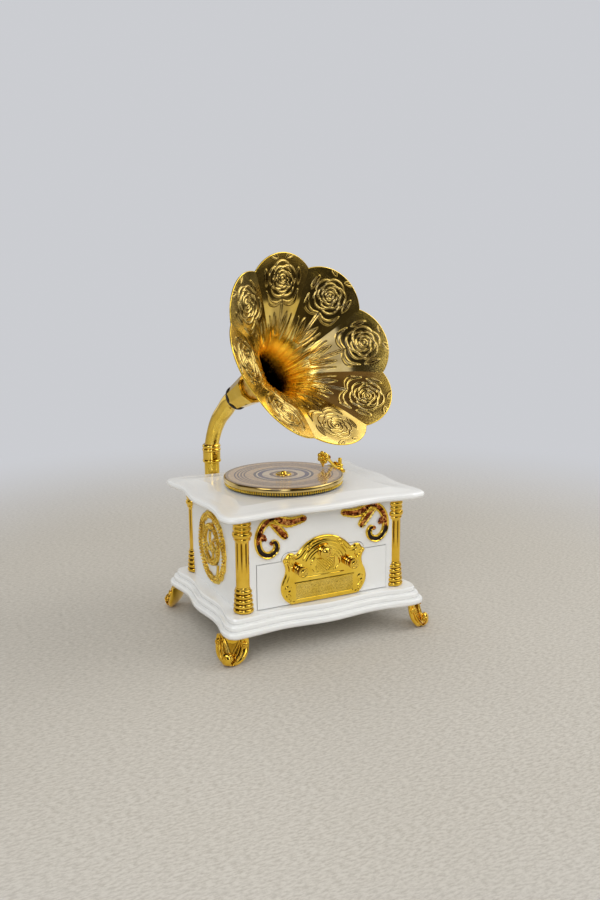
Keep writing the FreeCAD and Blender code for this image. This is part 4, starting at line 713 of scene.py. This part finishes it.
# Drawer backplate: an arch over scrolled shoulders, and the right side down to the bottom corner
ARCH_HALF, ARCH_FOOT, ARCH_RISE, ARCH_TOP = 17.3, 57.6, 8.8, 66.4
PLAQUE_SIDE = [(ARCH_HALF, ARCH_FOOT), (19.0, 57.0), (21.0, 58.1), (23.6, 57.8), (25.0, 56.0), (26.8, 54.2),
               (26.0, 51.6), (25.2, 48.6), (25.8, 45.0), (27.4, 41.4), (28.2, 37.6), (27.6, 33.4),
               (25.2, 29.4), (21.6, 26.8)]
PLATE_MIDDLE_Z, INNER_ARCH_Z, BAR_Z = 44.5, 46.4, 42.2
PANEL_Z, PANEL_HALF_X, PANEL_HALF_Z = 34.3, 19.6, 5.2
TABLET_Z, TABLET_HALF_X, TABLET_HALF_Z = 48.2, 6.0, 4.2
LOZENGE_Z, LOZENGE_STEP, BEAD_Z, BEAD_STEP = 35.6, 3.0, 31.6, 2.0
KNOB_X, KNOB_Z, BOSS_Z, BUTTON_LIFT = 16.8, 47.6, 56.4, 1.5


def plaque_outline():
    half = spline(PLAQUE_SIDE, 120)
    corner_x, bottom_z = PLAQUE_SIDE[-1]
    radius = (ARCH_HALF ** 2 + ARCH_RISE ** 2) / (2 * ARCH_RISE)
    middle = ARCH_TOP - radius
    end = atan2(ARCH_FOOT - middle, ARCH_HALF)
    top = polar(radius, np.linspace(pi - end, end, 110)) + (0, middle)
    bottom = np.column_stack([np.linspace(corner_x, -corner_x, 90), np.full(90, bottom_z)])
    left = half[::-1] * (-1, 1)
    return np.vstack([top[:-1], half[:-1], bottom[:-1], left[:-1]])


def plaque_strokes():
    """Sprigs beside the tablet, rings beside the panel and leaves in the corners."""
    strokes = []
    for sign in (-1, 1):
        sprig = spline(mirrored(sign, [(7.4, 44.4), (9.2, 47.6), (8.4, 51.4), (6.8, 53.2)]), 18)
        strokes += [(sprig, 0.45, 0.6), (arc_stroke(sign * 24.0, 36.4, 1.7, 0, 320), 0.42, 0.8)]
        for x, z, angle, length, width in ((22.6, 56.0, -90 - sign * 8, 6.4, 3.2),
                                           (24.6, 52.6, 90 - sign * 60, 2.6, 2.0),
                                           (24.2, 33.6, -90 - sign * 12, 6.0, 2.8),
                                           (11.6, 59.2, 90 + sign * 40, 4.0, 2.2)):
            strokes += leaf_strokes(sign * x, z, angle, length, width)
    return strokes


def plaque_height(x, z):
    """Rounded border, inner arch, hatched tablet, framed panel with a bead row, and corner leaves."""
    outline = plaque_outline()
    edge = stroke_distance(x, z, np.vstack([outline, outline[:1]])[::3])
    height = 1.2 + 0.5 * np.clip(edge / 0.8, 0, 1) - 0.25 * ridge(edge - 2.2, 0.42)
    arch = np.hypot(x, z - INNER_ARCH_Z)
    on_top = 1 / (1 + np.exp(-(z - 52.4) * 2.5))
    for level, radius, width in ((0.4, 15.4, 0.6), (-0.25, 13.9, 0.4), (0.25, 11.6, 0.4)):
        height += level * ridge(arch - radius, width) * on_top
    frame_line = np.maximum(np.abs(x) - PANEL_HALF_X, np.abs(z - PANEL_Z) - PANEL_HALF_Z)
    height += 0.3 * ridge(frame_line, 0.4) - 0.25 * (frame_line < -0.3)
    lozenge = np.abs((x + LOZENGE_STEP / 2) % LOZENGE_STEP - LOZENGE_STEP / 2) + 0.8 * np.abs(z - LOZENGE_Z)
    height += 0.35 * np.clip(1.25 - lozenge, 0, 0.6) * (np.abs(x) < 15.4)
    bead = np.hypot((x + BEAD_STEP / 2) % BEAD_STEP - BEAD_STEP / 2, z - BEAD_Z)
    height += 0.3 * np.clip(0.9 - bead, 0, 0.5) * (np.abs(x) < 13.0)
    tablet = np.maximum(np.abs(x) - TABLET_HALF_X, np.abs(z - TABLET_Z) - TABLET_HALF_Z)
    hatch = np.abs(np.sin((x + z) * 1.9)) * np.abs(np.sin((x - z) * 1.9))
    height += 0.2 * (tablet < 0) + 0.35 * hatch * (tablet < -0.4) + 0.2 * ridge(tablet, 0.3)
    height += 0.35 * ridge(z - BAR_Z, 0.35) * (np.abs(x) < 13)
    for stroke, width, level in plaque_strokes():
        height += 0.6 * level * ridge(stroke_distance(x, z, stroke), width)
    return height


def plaque():
    """Backplate with its relief; the panel's ground is stippled."""
    shape = radial_plate(plaque_outline(), (0, PLATE_MIDDLE_Z), 86, plaque_height, DRAWER_FACE_Y)
    piece = make_piece("drawer_plaque_relief", shape, "gold_plate", "drawer", "drawer_plaque",
                       others=["gold_sand"])
    for polygon in piece.data.polygons:
        x, z = polygon.center.x / MM, polygon.center.z / MM
        if abs(x) < PANEL_HALF_X - 0.6 and abs(z - PANEL_Z) < PANEL_HALF_Z - 0.5:
            polygon.material_index = 1


def button(name, x, z, profile, node):
    """Turned button that stands out from the drawer; its straight side bands carry a painted dark brown-gold
    reflection.
    """
    around = 56
    points, faces = lathe(profile, around)
    placed = [(x + px, DRAWER_FACE_Y - BUTTON_LIFT - pz, z + py) for px, py, pz in points]
    piece = make_piece(name, (placed, faces), "mirror_gold", "drawer", node, others=["amber"])
    for index, polygon in enumerate(piece.data.polygons):
        (r0, z0), (r1, z1) = profile[index // around], profile[index // around + 1]
        # The straight side bands get the second material, a dark brown-gold painted reflection.
        if abs(r1 - r0) < 0.12 and z1 - z0 > 0.6:
            polygon.material_index = 1
    sharpen(piece, 50)


def knobs():
    """Drawer knobs, and a plain boss in the arch above them."""
    profile = [(3.3, 0.0), (3.35, 0.5), (2.9, 0.8), (2.85, 2.2), (3.1, 2.35), (3.1, 2.75), (2.85, 2.9),
               (2.85, 4.3), (3.1, 4.5), (3.15, 5.9), (2.9, 6.3), (2.3, 6.35), (2.1, 6.15), (1.2, 6.3),
               (0.9, 6.6), (0.01, 6.8)]
    for side, label in SIDES:
        button("knob_" + label, side * KNOB_X, KNOB_Z, profile, "drawer_knob_" + label)
    boss = [(4.3, 0.0), (4.3, 0.5), (3.7, 0.8), (3.65, 1.9), (3.9, 2.1), (3.9, 2.5), (3.4, 2.8), (2.6, 2.7),
            (2.2, 3.1), (1.3, 3.6), (0.01, 3.8)]
    button("plaque_boss", 0.0, BOSS_Z, boss, "drawer_plaque")


# Side medallions: an outer ring and, off its middle, an inner ring round a small open flower

MEDALLION_Z, MEDALLION_RADIUS = 54.0, 23.1
INNER_MIDDLE, BEAD_LIFT = (0.9, 1.6), 1.15


def medallion_band(side, path, widths, levels, closed):
    """Domed strip on a side wall; the path holds (y, z) pairs about the medallion's middle."""
    edge, shoulder, crown = levels
    half = [(1.0, 0.0), (1.0, edge), (0.6, shoulder)]
    flat, faces = wall_band(path, widths, mirrored(-1, half) + [(0.0, crown)] + half[::-1], 0.0, closed)
    return [(side * (WALL_SIDE_X - y), x, z + MEDALLION_Z) for x, y, z in flat], faces


def bead_rows(side):
    """Small cast beads in staggered rows on the two rings."""
    inner_y, inner_z = INNER_MIDDLE
    rows = [(MEDALLION_RADIUS - 1.8, 0, 0, 60, 0), (MEDALLION_RADIUS - 4.1, 0, 0, 54, 0.5),
            (12.2, inner_y, inner_z, 36, 0), (10.5, inner_y, inner_z, 30, 0.5)]
    beads = []
    for radius, y, z, count, shift in rows:
        for a in 2 * pi * (np.arange(count) + shift) / count:
            size = 0.95 + 0.2 * sin(7 * a + radius)
            py, pz = y + radius * cos(a), z + radius * sin(a)
            centre = (side * (WALL_SIDE_X + BEAD_LIFT), py, MEDALLION_Z + pz)
            beads.append(ellipsoid(centre, (0.8, size, size), 6, 8))
    return join_parts(beads)


def spoke(start, inner, length, turn, count):
    """Line that curves outward from a start angle in degrees and an inner radius."""
    t = np.linspace(0, 1, count)
    return polar(inner + length * t, radians(start) + turn * t)


def side_medallions():
    """Pierced rosette of beaded rings around a small open flower."""
    angles = np.linspace(0, 2 * pi, 240, endpoint=False)
    unit = polar(1.0, angles)
    wave = MEDALLION_RADIUS - 2.9 + 0.45 * np.cos(16 * angles)
    bands = {"outer": (unit * wave[:, None], [4.6, 4.6], (0.5, 0.95, 1.15), True),
             "inner": (unit * 11.4 + INNER_MIDDLE, [3.8, 3.8], (0.5, 0.95, 1.2), True),
             "eye": (unit * 2.9, [2.2, 2.2], (0.6, 1.1, 1.35), True)}
    for k in range(5):
        rib, petal = spoke(72 * k + 10, 12.2, 7.0, 0.5, 16), spoke(72 * k + 25, 2.6, 7.8, 0.9, 18)
        bands["rib_%d" % k] = (rib, [3.6, 2.4, 3.8], (0.5, 0.9, 1.1), False)
        bands["petal_%d" % k] = (petal, [1.6, 2.6, 2.0], (0.5, 1.0, 1.3), False)
    for side, label in SIDES:
        shapes = {name: medallion_band(side, *band) for name, band in bands.items()}
        shapes["beads"] = bead_rows(side)
        for name, shape in shapes.items():
            make_piece("rosette_%s_%s" % (name, label), shape, "gold_grain", "cabinet",
                       "side_medallion_" + label)


# Feet: across is along the cabinet's corner face, out is away from the cabinet

FOOT_X, FOOT_Y = 62.4, 49.6
FOOT_REACH, FOOT_BOTTOM = 7.6, 0.15
# Height, back, side and front reach, and half width of the foot at each level
FOOT_LEVELS = [(15.9, -4.6, -2.6, -0.4, 9.8), (13.0, -4.4, -2.2, -0.2, 10.2), (10.0, -3.9, -1.4, 0.5, 10.2),
               (7.0, -3.0, -0.4, 1.5, 9.8), (4.5, -1.9, 0.6, 2.6, 8.7), (2.5, -0.6, 1.4, 3.6, 7.0),
               (1.2, 0.4, 1.8, 4.0, 5.3), (0.4, 1.2, 2.2, 3.8, 3.7), (FOOT_BOTTOM, 1.7, 2.4, 3.4, 2.6)]
# The sunk panel in the middle of the front: half its width at each height
SUNK_HEIGHTS, SUNK_HALVES = (2.0, 5.6, 8.2, 10.4, 12.6, 15.9), (0.4, 1.2, 2.0, 3.0, 4.0, 5.2)
# Raised lines on the right half of the front, as places across and heights, with their radii
FOOT_LINES = [([(half + 0.5, z) for z, half in zip(SUNK_HEIGHTS[:0:-1], SUNK_HALVES[:0:-1])], 0.45),
              ([(7.2, 15.6), (7.1, 12.6), (6.9, 9.6), (6.3, 6.6), (5.0, 4.0), (3.0, 2.2), (1.0, 1.6)], 0.6),
              ([(5.8, 14.0), (5.2, 10.4), (4.3, 7.2), (3.2, 5.0)], 0.4)]
# Bands that roll up into the toe: places out and heights, half widths along the band, and thickness
TOE_BANDS = [([(2.6, 2.6), (4.4, 1.3), (6.2, 2.6), (6.8, 5.0), (6.0, 7.4), (4.5, 7.9), (3.8, 6.6)],
              (3.6, 3.2, 2.8, 2.6, 2.6, 2.5), 0.7),
             ([(4.6, 0.9), (6.6, 2.2), (7.3, 4.8), (6.8, 6.8)], (0.4, 1.0, 1.3, 0.9, 0.3), 0.4)]


def foot_front(level, across):
    """How far out the foot's front lies at a height and a place across it."""
    z, _, side, front, half = level
    share = np.clip(np.abs(across) / half, 0, 1)
    panel = np.interp(z, SUNK_HEIGHTS, SUNK_HALVES)
    sunk = 0.9 / (1 + np.exp((np.abs(across) - panel) * 4.0))
    return side + (front - side) * (1 - share ** 2) ** 0.6 - sunk


def foot_levels(rows):
    smooth = spline(FOOT_LEVELS, rows)
    smooth[:, 0] = np.maximum(smooth[:, 0], FOOT_BOTTOM)
    return smooth


def foot_body(rows=60, columns=44):
    """Closed rings from the plinth down to the floor: a scrolled front and a rounded back."""
    angles = np.linspace(-pi / 2, pi / 2, columns)
    points = []
    for level in foot_levels(rows):
        z, back, side, _, half = level
        across = half * np.sin(angles)
        rear = side - (side - back) * np.cos(angles[1:-1]) ** 0.7
        points += [(o, a, z) for o, a in zip(foot_front(level, across), across)]
        points += [(o, a, z) for o, a in zip(rear[::-1], across[1:-1][::-1])]
    return points, bar_faces(rows, 2 * columns - 2)


def foot_line(path, radius):
    """Raised line that follows the foot's front; the path holds places across and heights."""
    levels = foot_levels(160)
    line = []
    for across, z in spline(path, 26):
        level = levels[np.argmin(np.abs(levels[:, 0] - z))]
        line.append((foot_front(level, across) + 0.25, across, z))
    return tube(line, radius, 10)


def curl(centre, radius, facing, thickness=0.45, turns=1.6):
    """Spiral cord on a vertical disc; facing is the disc's angle from straight out."""
    c, s = cos(facing), sin(facing)
    t = np.linspace(0, 1, 40)
    u, v = polar(radius * (1 - 0.85 * t), 2 * pi * turns * t).T
    line = np.column_stack([centre[0] - s * u + 0.5 * c * t, centre[1] + c * u + 0.5 * s * t, centre[2] + v])
    return tube(line, thickness * (1 - 0.3 * t), 8)


def scroll_band(path, halves, thickness, around=20):
    """Band that rolls up in the out and height plane; halves are its half widths along it."""
    count = 70
    line = spline(path, count)
    points = []
    for (out, z), (tx, tz), h in zip(line, tangents(line), spread(halves, count)):
        for j in range(around):
            a = 2 * pi * j / around
            lift = thickness * sin(a)
            points.append((out + tz * lift, h * cos(a), z - tx * lift))
    return points, bar_faces(count, around)


def foot_shade(points):
    """Share of painted shade in the grooves beside the ridges, for each point of the foot's body."""
    across, z = np.abs(points[:, 1]), points[:, 2]
    beside = across - np.interp(z, SUNK_HEIGHTS, SUNK_HALVES)
    front = points[:, 0] > np.interp(z, [0, 16], [2.0, -2.4])
    lines = ridge(beside + 0.3, 0.35) + ridge(beside - 1.5, 0.35) + 0.8 * ridge(beside - 2.9, 0.3)
    return np.clip(lines, 0, 0.85) * front * (z < 15)


def feet():
    """Scrolled feet: a sunk panel between two ridges, curls at the upper corners and a rolled toe."""
    parts = [foot_body()]
    for sign in (-1, 1):
        parts += [foot_line(mirrored(sign, line), radius) for line, radius in FOOT_LINES]
        parts.append(ellipsoid((-0.9, sign * 8.3, 12.2), (1.2, 1.9, 2.0)))
        parts.append(curl((0.3, sign * 8.2, 12.2), 1.8, sign * 0.35))
        parts.append(curl((5.3, sign * 2.7, 5.3), 1.9, sign * pi / 2))
    parts.append(ellipsoid((5.2, 0, 5.3), (1.7, 2.7, 2.3)))
    parts += [scroll_band(*band) for band in TOE_BANDS]
    points, faces = join_parts(parts)
    points = np.asarray(points)
    # Painted shade in the grooves of the foot's body; the added lines, curls and toe get none.
    shade = foot_shade(np.asarray(parts[0][0]))
    shade = np.pad(shade, (0, len(points) - len(shade)))
    out, across, z = np.minimum(points[:, 0], FOOT_REACH), points[:, 1], np.maximum(points[:, 2], FOOT_BOTTOM)
    for sx, sy, label in CORNERS:
        angle = atan2(sy, sx)
        c, s = cos(angle), sin(angle)
        placed = np.column_stack([sx * FOOT_X + c * out - s * across, sy * FOOT_Y + s * out + c * across, z])
        piece = make_piece("scroll_foot_" + label, (placed, faces), "fluted_gold", "cabinet",
                           "foot_" + label, values={"groove": shade})
        sharpen(piece, 50)


# Columns

COLUMN_X, COLUMN_Y = 50.35, 40.35
# A column is left open where x and y add up to less than this, inside the cabinet's cut corner
CORNER_INSIDE = 87.8
RING_START, RING_HEIGHT, RINGS = 26.2, 2.84, 5
FLUTE_START, FLUTE_END, FLUTES = 41.6, 68.8, 9


def bulge(radius, swell, start, height, count):
    """Half-round ring of a turned profile."""
    return [(radius + swell * sin(t), start + height * (1 - cos(t)) / 2)
            for t in np.linspace(0, pi, count)]


def column_profile():
    """Ringed base, shaft, bulged ring and small capital."""
    profile = []
    for i in range(RINGS):
        profile += bulge(6.1 - 0.22 * i - 0.95, 0.95, RING_START + i * RING_HEIGHT, RING_HEIGHT, 7)
    profile += [(4.7, 40.8), (4.3, 41.4)]
    profile += [(4.25, z) for z in np.linspace(FLUTE_START + 0.1, FLUTE_END, 48)]
    profile += [(4.5, 69.3), (5.0, 69.8), (5.0, 70.6), (4.6, 70.9)]
    profile += bulge(4.9, 0.95, 71.2, 3.4, 8)
    for i in range(3):
        profile += bulge(4.6 + 0.12 * i, 0.8, 75.0 + 2.7 * i, 2.7, 6)
    return profile


def fluted_point(x, y, z):
    """A column's point pressed in by the flutes, and its share of painted shade in a flute or between base
    rings.
    """
    if not FLUTE_START < z < FLUTE_END:
        # Painted shade in the creases between the base rings.
        between_rings = (1 - abs(sin(pi * (z - RING_START) / RING_HEIGHT))) ** 2
        return (x, y, z), 0.7 * (z < 40.5) * between_rings
    r = hypot(x, y)
    end = min(1.0, (FLUTE_END - z) / 1.2, (z - FLUTE_START) / 1.2)
    upper = min(1.0, max(0.0, (z - 50) / 8))
    flute = end * max(0.0, cos(FLUTES * atan2(y, x))) ** 1.2
    depth = 0.5 * flute * (0.3 + 0.7 * upper)
    # Painted shade in the upper flutes.
    return (x * (r - depth) / r, y * (r - depth) / r, z), flute * upper


def columns():
    """Turned pilasters; the part inside the cabinet's corner is left open."""
    points, faces = lathe(column_profile(), 160)
    # grooves holds each point's share of painted shade.
    points, grooves = zip(*[fluted_point(*point) for point in points])
    for sx, sy, label in CORNERS:
        placed = [(sx * COLUMN_X + x, sy * COLUMN_Y + y, z) for x, y, z in points]
        outside = [sx * x + sy * y > CORNER_INSIDE or sx * x > WALL_SIDE_X - 0.2
                   or sy * y > -WALL_FRONT_Y - 0.2 for x, y, z in placed]
        kept = [f for f in faces if any(outside[i] for i in f)]
        make_piece("pilaster_" + label, (placed, kept), "fluted_gold", "cabinet", "column_" + label,
                   values={"groove": grooves})


# Turntable

def turntable():
    """Platter: a toothed band in a dark groove under a smooth rolled rim, and a gold ring on the record."""
    rim = [(30.0, 91.5), (36.9, 91.5), (37.3, 91.8), (PLATTER_RADIUS, 92.4), (PLATTER_RADIUS, 93.4),
           (37.25, 94.0), (36.9, 94.35), (36.5, 94.3), (36.35, 93.8)]
    core = [(30.0, 89.5), (36.2, 89.5), (36.2, 91.6)]
    hub = [(5.0, RECORD_TOP), (5.0, 94.8), (4.7, 95.1), (3.9, 95.15), (3.5, 94.9), (2.3, 94.85), (2.1, 95.2),
           (1.9, 95.9), (1.5, 96.3), (0.8, 96.5), (0.01, 96.6)]
    for name, profile, columns, finish, node in (("platter_rim", rim, 180, "rim_gold", "turntable_platter"),
                                                 ("platter_core", core, 180, "ink", "turntable_platter"),
                                                 ("record_hub", hub, 60, "mirror_gold", "spindle_cap")):
        make_piece(name, lathe(profile, columns, TURN_AXIS), finish, "turntable", node)
    teeth, tooth_radius, tooth_z = 150, 36.5, 90.55
    places = polar(tooth_radius, 2 * pi * np.arange(teeth) / teeth) + TURN_AXIS
    band = join_parts([ellipsoid((x, y, tooth_z), (0.55, 0.55, 1.0), 6, 8) for x, y in places])
    make_piece("platter_teeth", band, "gold_plate", "turntable", "turntable_platter")


# Tonearm: local X runs from its post to its head

ARM_HEAD, ARM_HEAD_Z = 17.6, 101.2
ARM_BAR = [(0, 0, 91.9), (4.6, 0.3, 92.6), (9.0, 0.2, 95.6), (12.6, 0, 98.8), (ARM_HEAD - 1.0, 0, 100.6)]
ARM_COLLAR = [(1.4, 89.9), (2.4, 89.9), (2.6, 90.3), (2.4, 90.8), (1.9, 91.1), (1.9, 92.2), (2.2, 92.6),
              (2.2, 93.2), (1.6, 93.6), (1.1, 93.8), (1.05, 96.6), (1.25, 96.8), (1.25, 97.4), (0.9, 97.7),
              (0.01, 97.8)]
# Leaves on the arm: foot, tip, width and lift
ARM_LEAVES = [((1.0, -0.6, 90.6), (-3.0, -12.4, 90.8), 4.4, 0.5),
              ((1.0, -1.0, 91.0), (4.6, -7.4, 91.4), 2.8, 0.6),
              ((4.0, 0.4, 93.4), (9.4, 2.6, 97.2), 2.8, 0.8),
              ((4.6, -0.2, 93.4), (10.2, -2.4, 97.4), 2.8, 0.8),
              ((11.0, 0, 99.4), (14.6, 0.2, 102.6), 2.6, 0.6)]
NEEDLE_NECK = [(0.01, 94.9), (0.45, 95.0), (0.6, 96.0), (1.0, 96.4), (0.9, 96.8), (1.3, 97.4), (1.45, 98.4),
               (1.1, 99.2), (1.2, 100.0)]


def arm_matrix():
    direction = Vector((NEEDLE_PLACE[0] - ARM_AXIS[0], NEEDLE_PLACE[1] - ARM_AXIS[1], 0)).normalized()
    side = Vector((-direction.y, direction.x, 0))
    return axes_matrix(direction, side, Vector((0, 0, 1)), (*ARM_AXIS, 0))


def leaf_solid(start, end, width, lift, thick=0.7):
    """Small curved leaf with a raised midrib."""
    start = np.asarray(start, float)
    axis = np.asarray(end, float) - start
    side = np.cross(axis, (0, 0, 1.0))
    side /= np.linalg.norm(side)
    t, q = np.meshgrid(np.linspace(0, 1, 16), np.linspace(-1, 1, 7), indexing="ij")
    swell = np.sin(pi * t)
    half = width / 2 * np.sin(pi * np.minimum(t * 0.94 + 0.06, 1)) ** 0.7
    plain = start + t[..., None] * axis + (half * q)[..., None] * side
    dome = thick * (1 - np.abs(q)) * (0.4 + 0.6 * swell)
    return join_parts([sheet(plain + (lift * swell + rise)[..., None] * (0, 0, 1), turn)
                       for rise, turn in ((dome, 1), (-0.25, -1))])


def tonearm():
    """Ornate little arm: collar, curved bar with leaves, flower head and tapered needle neck."""
    count = 40
    widths = np.interp(np.linspace(0, 1, count), [0, 0.25, 0.6, 1.0], [1.7, 1.2, 1.0, 1.5])
    arm = [tube(spline(ARM_BAR, count), widths, 14), lathe(ARM_COLLAR, 48)]
    arm += [leaf_solid(*leaf) for leaf in ARM_LEAVES]
    petals, ring = 7, 2.8
    places = ring * polar(1.0, 2 * pi * np.arange(petals) / petals)
    head = [ellipsoid((ARM_HEAD + 1.2, y, ARM_HEAD_Z + z), (1.2, 1.55, 1.55)) for y, z in places]
    head.append(ellipsoid((ARM_HEAD + 1.8, 0, ARM_HEAD_Z), (2.2, 1.9, 1.9)))
    head.append(ellipsoid((ARM_HEAD - 0.2, 0, ARM_HEAD_Z), (1.4, 3.4, 3.4)))
    head.append(lathe(NEEDLE_NECK, 24, (ARM_HEAD + 1.2, 0)))
    for name, parts, node in (("tonearm_bar", arm, "tonearm"), ("tonearm_head", head, "sound_box")):
        piece = make_piece(name, join_parts(parts), "gold_plate", "tonearm", node, matrix=arm_matrix())
        sharpen(piece, 60)


# Finish of the parts that keep their own shape

OWN_FINISHES = {"horn_ferrule": "mirror_gold", "horn_socket": "mirror_gold", "tonearm_shaft": "gold_plate"}


def dress_nodes():
    """Each slot of a part gets the material of its name, apart from the few with a finish of their own."""
    for name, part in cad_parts.items():
        for slot in part.material_slots:
            slot_name = slot.material.name.split(".")[0]
            slot.material = materials[OWN_FINISHES.get(name, slot_name)]


# Stage

ROOM_DARK = (0.040, 0.036, 0.032)
BACKDROP = (0.60, 0.61, 0.64)
# Bright and dim parts of the room that polished metal mirrors: azimuth, elevation, full and faded reach in
# degrees, and colour
ROOM_PARTS = [(-30, -3, 16, 29, (0.42, 0.36, 0.22)), (0, 90, 14, 34, (0.17, 0.12, 0.11)),
              (68, 8, 26, 46, (0.38, 0.36, 0.34)), (-124, 29, 9, 21, (0.85, 0.92, 1.75)),
              (-176, 0, 12, 32, (0.50, 0.42, 0.30)), (120, 4, 14, 34, (0.90, 0.89, 0.86)),
              (30, 14, 10, 28, (0.9, 0.88, 0.82)), (26, 46, 13, 26, (1.38, 1.35, 1.38)),
              (-56, 46, 12, 23, (1.9, 1.85, 1.60)), (-46, 12, 6, 18, (1.0, 0.98, 0.92)),
              (-156, 38, 6, 14, (4.8, 4.7, 4.5)), (-112, 56, 4, 10, (2.2, 2.2, 2.3)),
              (-112, 13, 5, 12, (3.6, 3.6, 3.7))]
# Camera: its own axes, place and lens
CAMERA_RIGHT, CAMERA_UP = Vector((0.8997, -0.4363, -0.0087)), Vector((0.0966, 0.1798, 0.9790))
CAMERA_BACK = Vector((-0.4256, -0.8816, 0.2039))
CAMERA_PLACE, CAMERA_LENS, CAMERA_SENSOR = (-234.25, -498.08, 223.83), 36.08, 36.0


def heading(azimuth, elevation):
    """Direction for an azimuth and an elevation in degrees."""
    a, e = radians(azimuth), radians(elevation)
    return Vector((cos(e) * cos(a), cos(e) * sin(a), sin(e)))


def background(tree, colour, strength=1.0):
    return add_node("Background", {"Color": colour, "Strength": strength}, tree=tree)


def mirrored_room(tree):
    direction = add_node("TexCoord", {}, "Generated", tree)
    colour = ROOM_DARK
    for azimuth, elevation, full, faded, tint in ROOM_PARTS:
        toward = vector_maths("DOT_PRODUCT", direction, heading(azimuth, elevation), output="Value")
        share = smooth_range(toward, cos(radians(faded)), cos(radians(full)))
        colour = colour_mix(share, colour, tint)
    return colour


def surroundings():
    """Pale backdrop, soft light on the object, and a room that metal mirrors."""
    world = bpy.data.worlds.new("studio")
    bpy.context.scene.world = world
    world.use_nodes = True
    tree = world.node_tree
    tree.nodes.clear()
    rays = tree.nodes.new("ShaderNodeLightPath").outputs
    soft = background(tree, (0.97, 0.985, 1.0), 0.62)
    lit = shader_mix(rays["Is Glossy Ray"], soft, background(tree, mirrored_room(tree)))
    direct = maths("MAXIMUM", rays["Is Camera Ray"], rays["Is Transmission Ray"])
    final = shader_mix(direct, lit, background(tree, BACKDROP))
    output = tree.nodes.new("ShaderNodeOutputWorld")
    tree.links.new(final, output.inputs["Surface"])


def floor_material():
    """Pale cloth-like floor that turns into the even backdrop far away. Metal mirrors it a little
    brighter near the object, and dark in front."""
    material, tree = new_material("pale_floor")
    place = place_of(tree)
    rays = tree.nodes.new("ShaderNodeLightPath").outputs
    pale = ramp(noise(place, 3, 3), [(0.3, (0.51, 0.475, 0.415)), (0.7, (0.56, 0.525, 0.465))])
    threads = add_node("Mapping", {"Vector": place, "Scale": (1, 2.6, 1)})
    weave = noise(threads, 330, 4, 0.7)
    pale = colour_mix(grey_ramp(weave, 0.0, 0.75, 0.42, 0.62), pale, (0.38, 0.345, 0.295))
    pale = colour_mix(rays["Is Glossy Ray"], pale, (0.66, 0.62, 0.55))
    front = smooth_range(product(axes(place)[1], -1.0), 0.27, 0.45)
    dim = product(front, rays["Is Glossy Ray"])
    colour = colour_mix(dim, pale, (0.05, 0.04, 0.03))
    set_surface(material, colour, 0.9, bump(weave, 0.0003, 0.4), 0.0, {"Specular IOR Level": 0.1})
    far = smooth_range(radius_from(place), 0.22, 0.60)
    glow = add_node("Emission", {"Color": BACKDROP}, tree=tree)
    seen = product(far, rays["Is Camera Ray"])
    surface = shader_mix(seen, tree.nodes["Principled BSDF"].outputs[0], glow)
    tree.links.new(surface, tree.nodes["Material Output"].inputs["Surface"])
    return material


def floor():
    mesh = bpy.data.meshes.new("floor")
    reach = 5.0
    corners = [(x * reach, y * reach, 0) for x, y in ((-1, -1), (1, -1), (1, 1), (-1, 1))]
    mesh.from_pydata(corners, [], [(0, 1, 2, 3)])
    mesh.materials.append(floor_material())
    add_object("floor", mesh)


def lamp(name, place, target, size, power, mirrored_by_gloss=False):
    """Square lamp that looks at its target; sizes and places in metres."""
    data = bpy.data.lights.new(name, "AREA")
    data.size = size
    data.energy = power
    light = add_object(name, data)
    light.location = place
    light.rotation_mode = "QUATERNION"
    light.rotation_quaternion = (Vector(target) - Vector(place)).to_track_quat("-Z", "Y")
    light.visible_glossy = mirrored_by_gloss


def camera():
    data = bpy.data.cameras.new("camera")
    data.lens = CAMERA_LENS
    data.sensor_width = CAMERA_SENSOR
    data.clip_start, data.clip_end = 0.01, 50
    view = add_object("camera", data)
    view.matrix_world = axes_matrix(CAMERA_RIGHT, CAMERA_UP, CAMERA_BACK, CAMERA_PLACE)
    bpy.context.scene.camera = view
    bpy.context.scene.view_settings.view_transform = "Standard"


def studio():
    """Plain pale floor, pale surroundings, soft lamps and the camera."""
    floor()
    surroundings()
    lamp("key", (0.68, -0.24, 0.68), (0, 0, 0.08), 0.6, 3.0, True)
    lamp("fill", (-0.40, -0.64, 0.58), (0, 0, 0.10), 0.5, 3.2)
    lamp("top", (0.0, 0.50, 0.74), (0, 0, 0.10), 0.6, 1.2)
    camera()


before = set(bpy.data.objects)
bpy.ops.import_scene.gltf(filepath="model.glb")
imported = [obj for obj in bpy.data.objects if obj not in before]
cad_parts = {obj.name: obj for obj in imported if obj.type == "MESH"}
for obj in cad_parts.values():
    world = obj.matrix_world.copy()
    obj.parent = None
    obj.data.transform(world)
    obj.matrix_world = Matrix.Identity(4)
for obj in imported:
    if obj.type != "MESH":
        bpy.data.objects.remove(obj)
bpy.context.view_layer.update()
materials = make_materials()
studio()
dress_nodes()
horn_bell()
stem()
scroll_brackets()
plaque()
knobs()
side_medallions()
feet()
columns()
turntable()
tonearm()
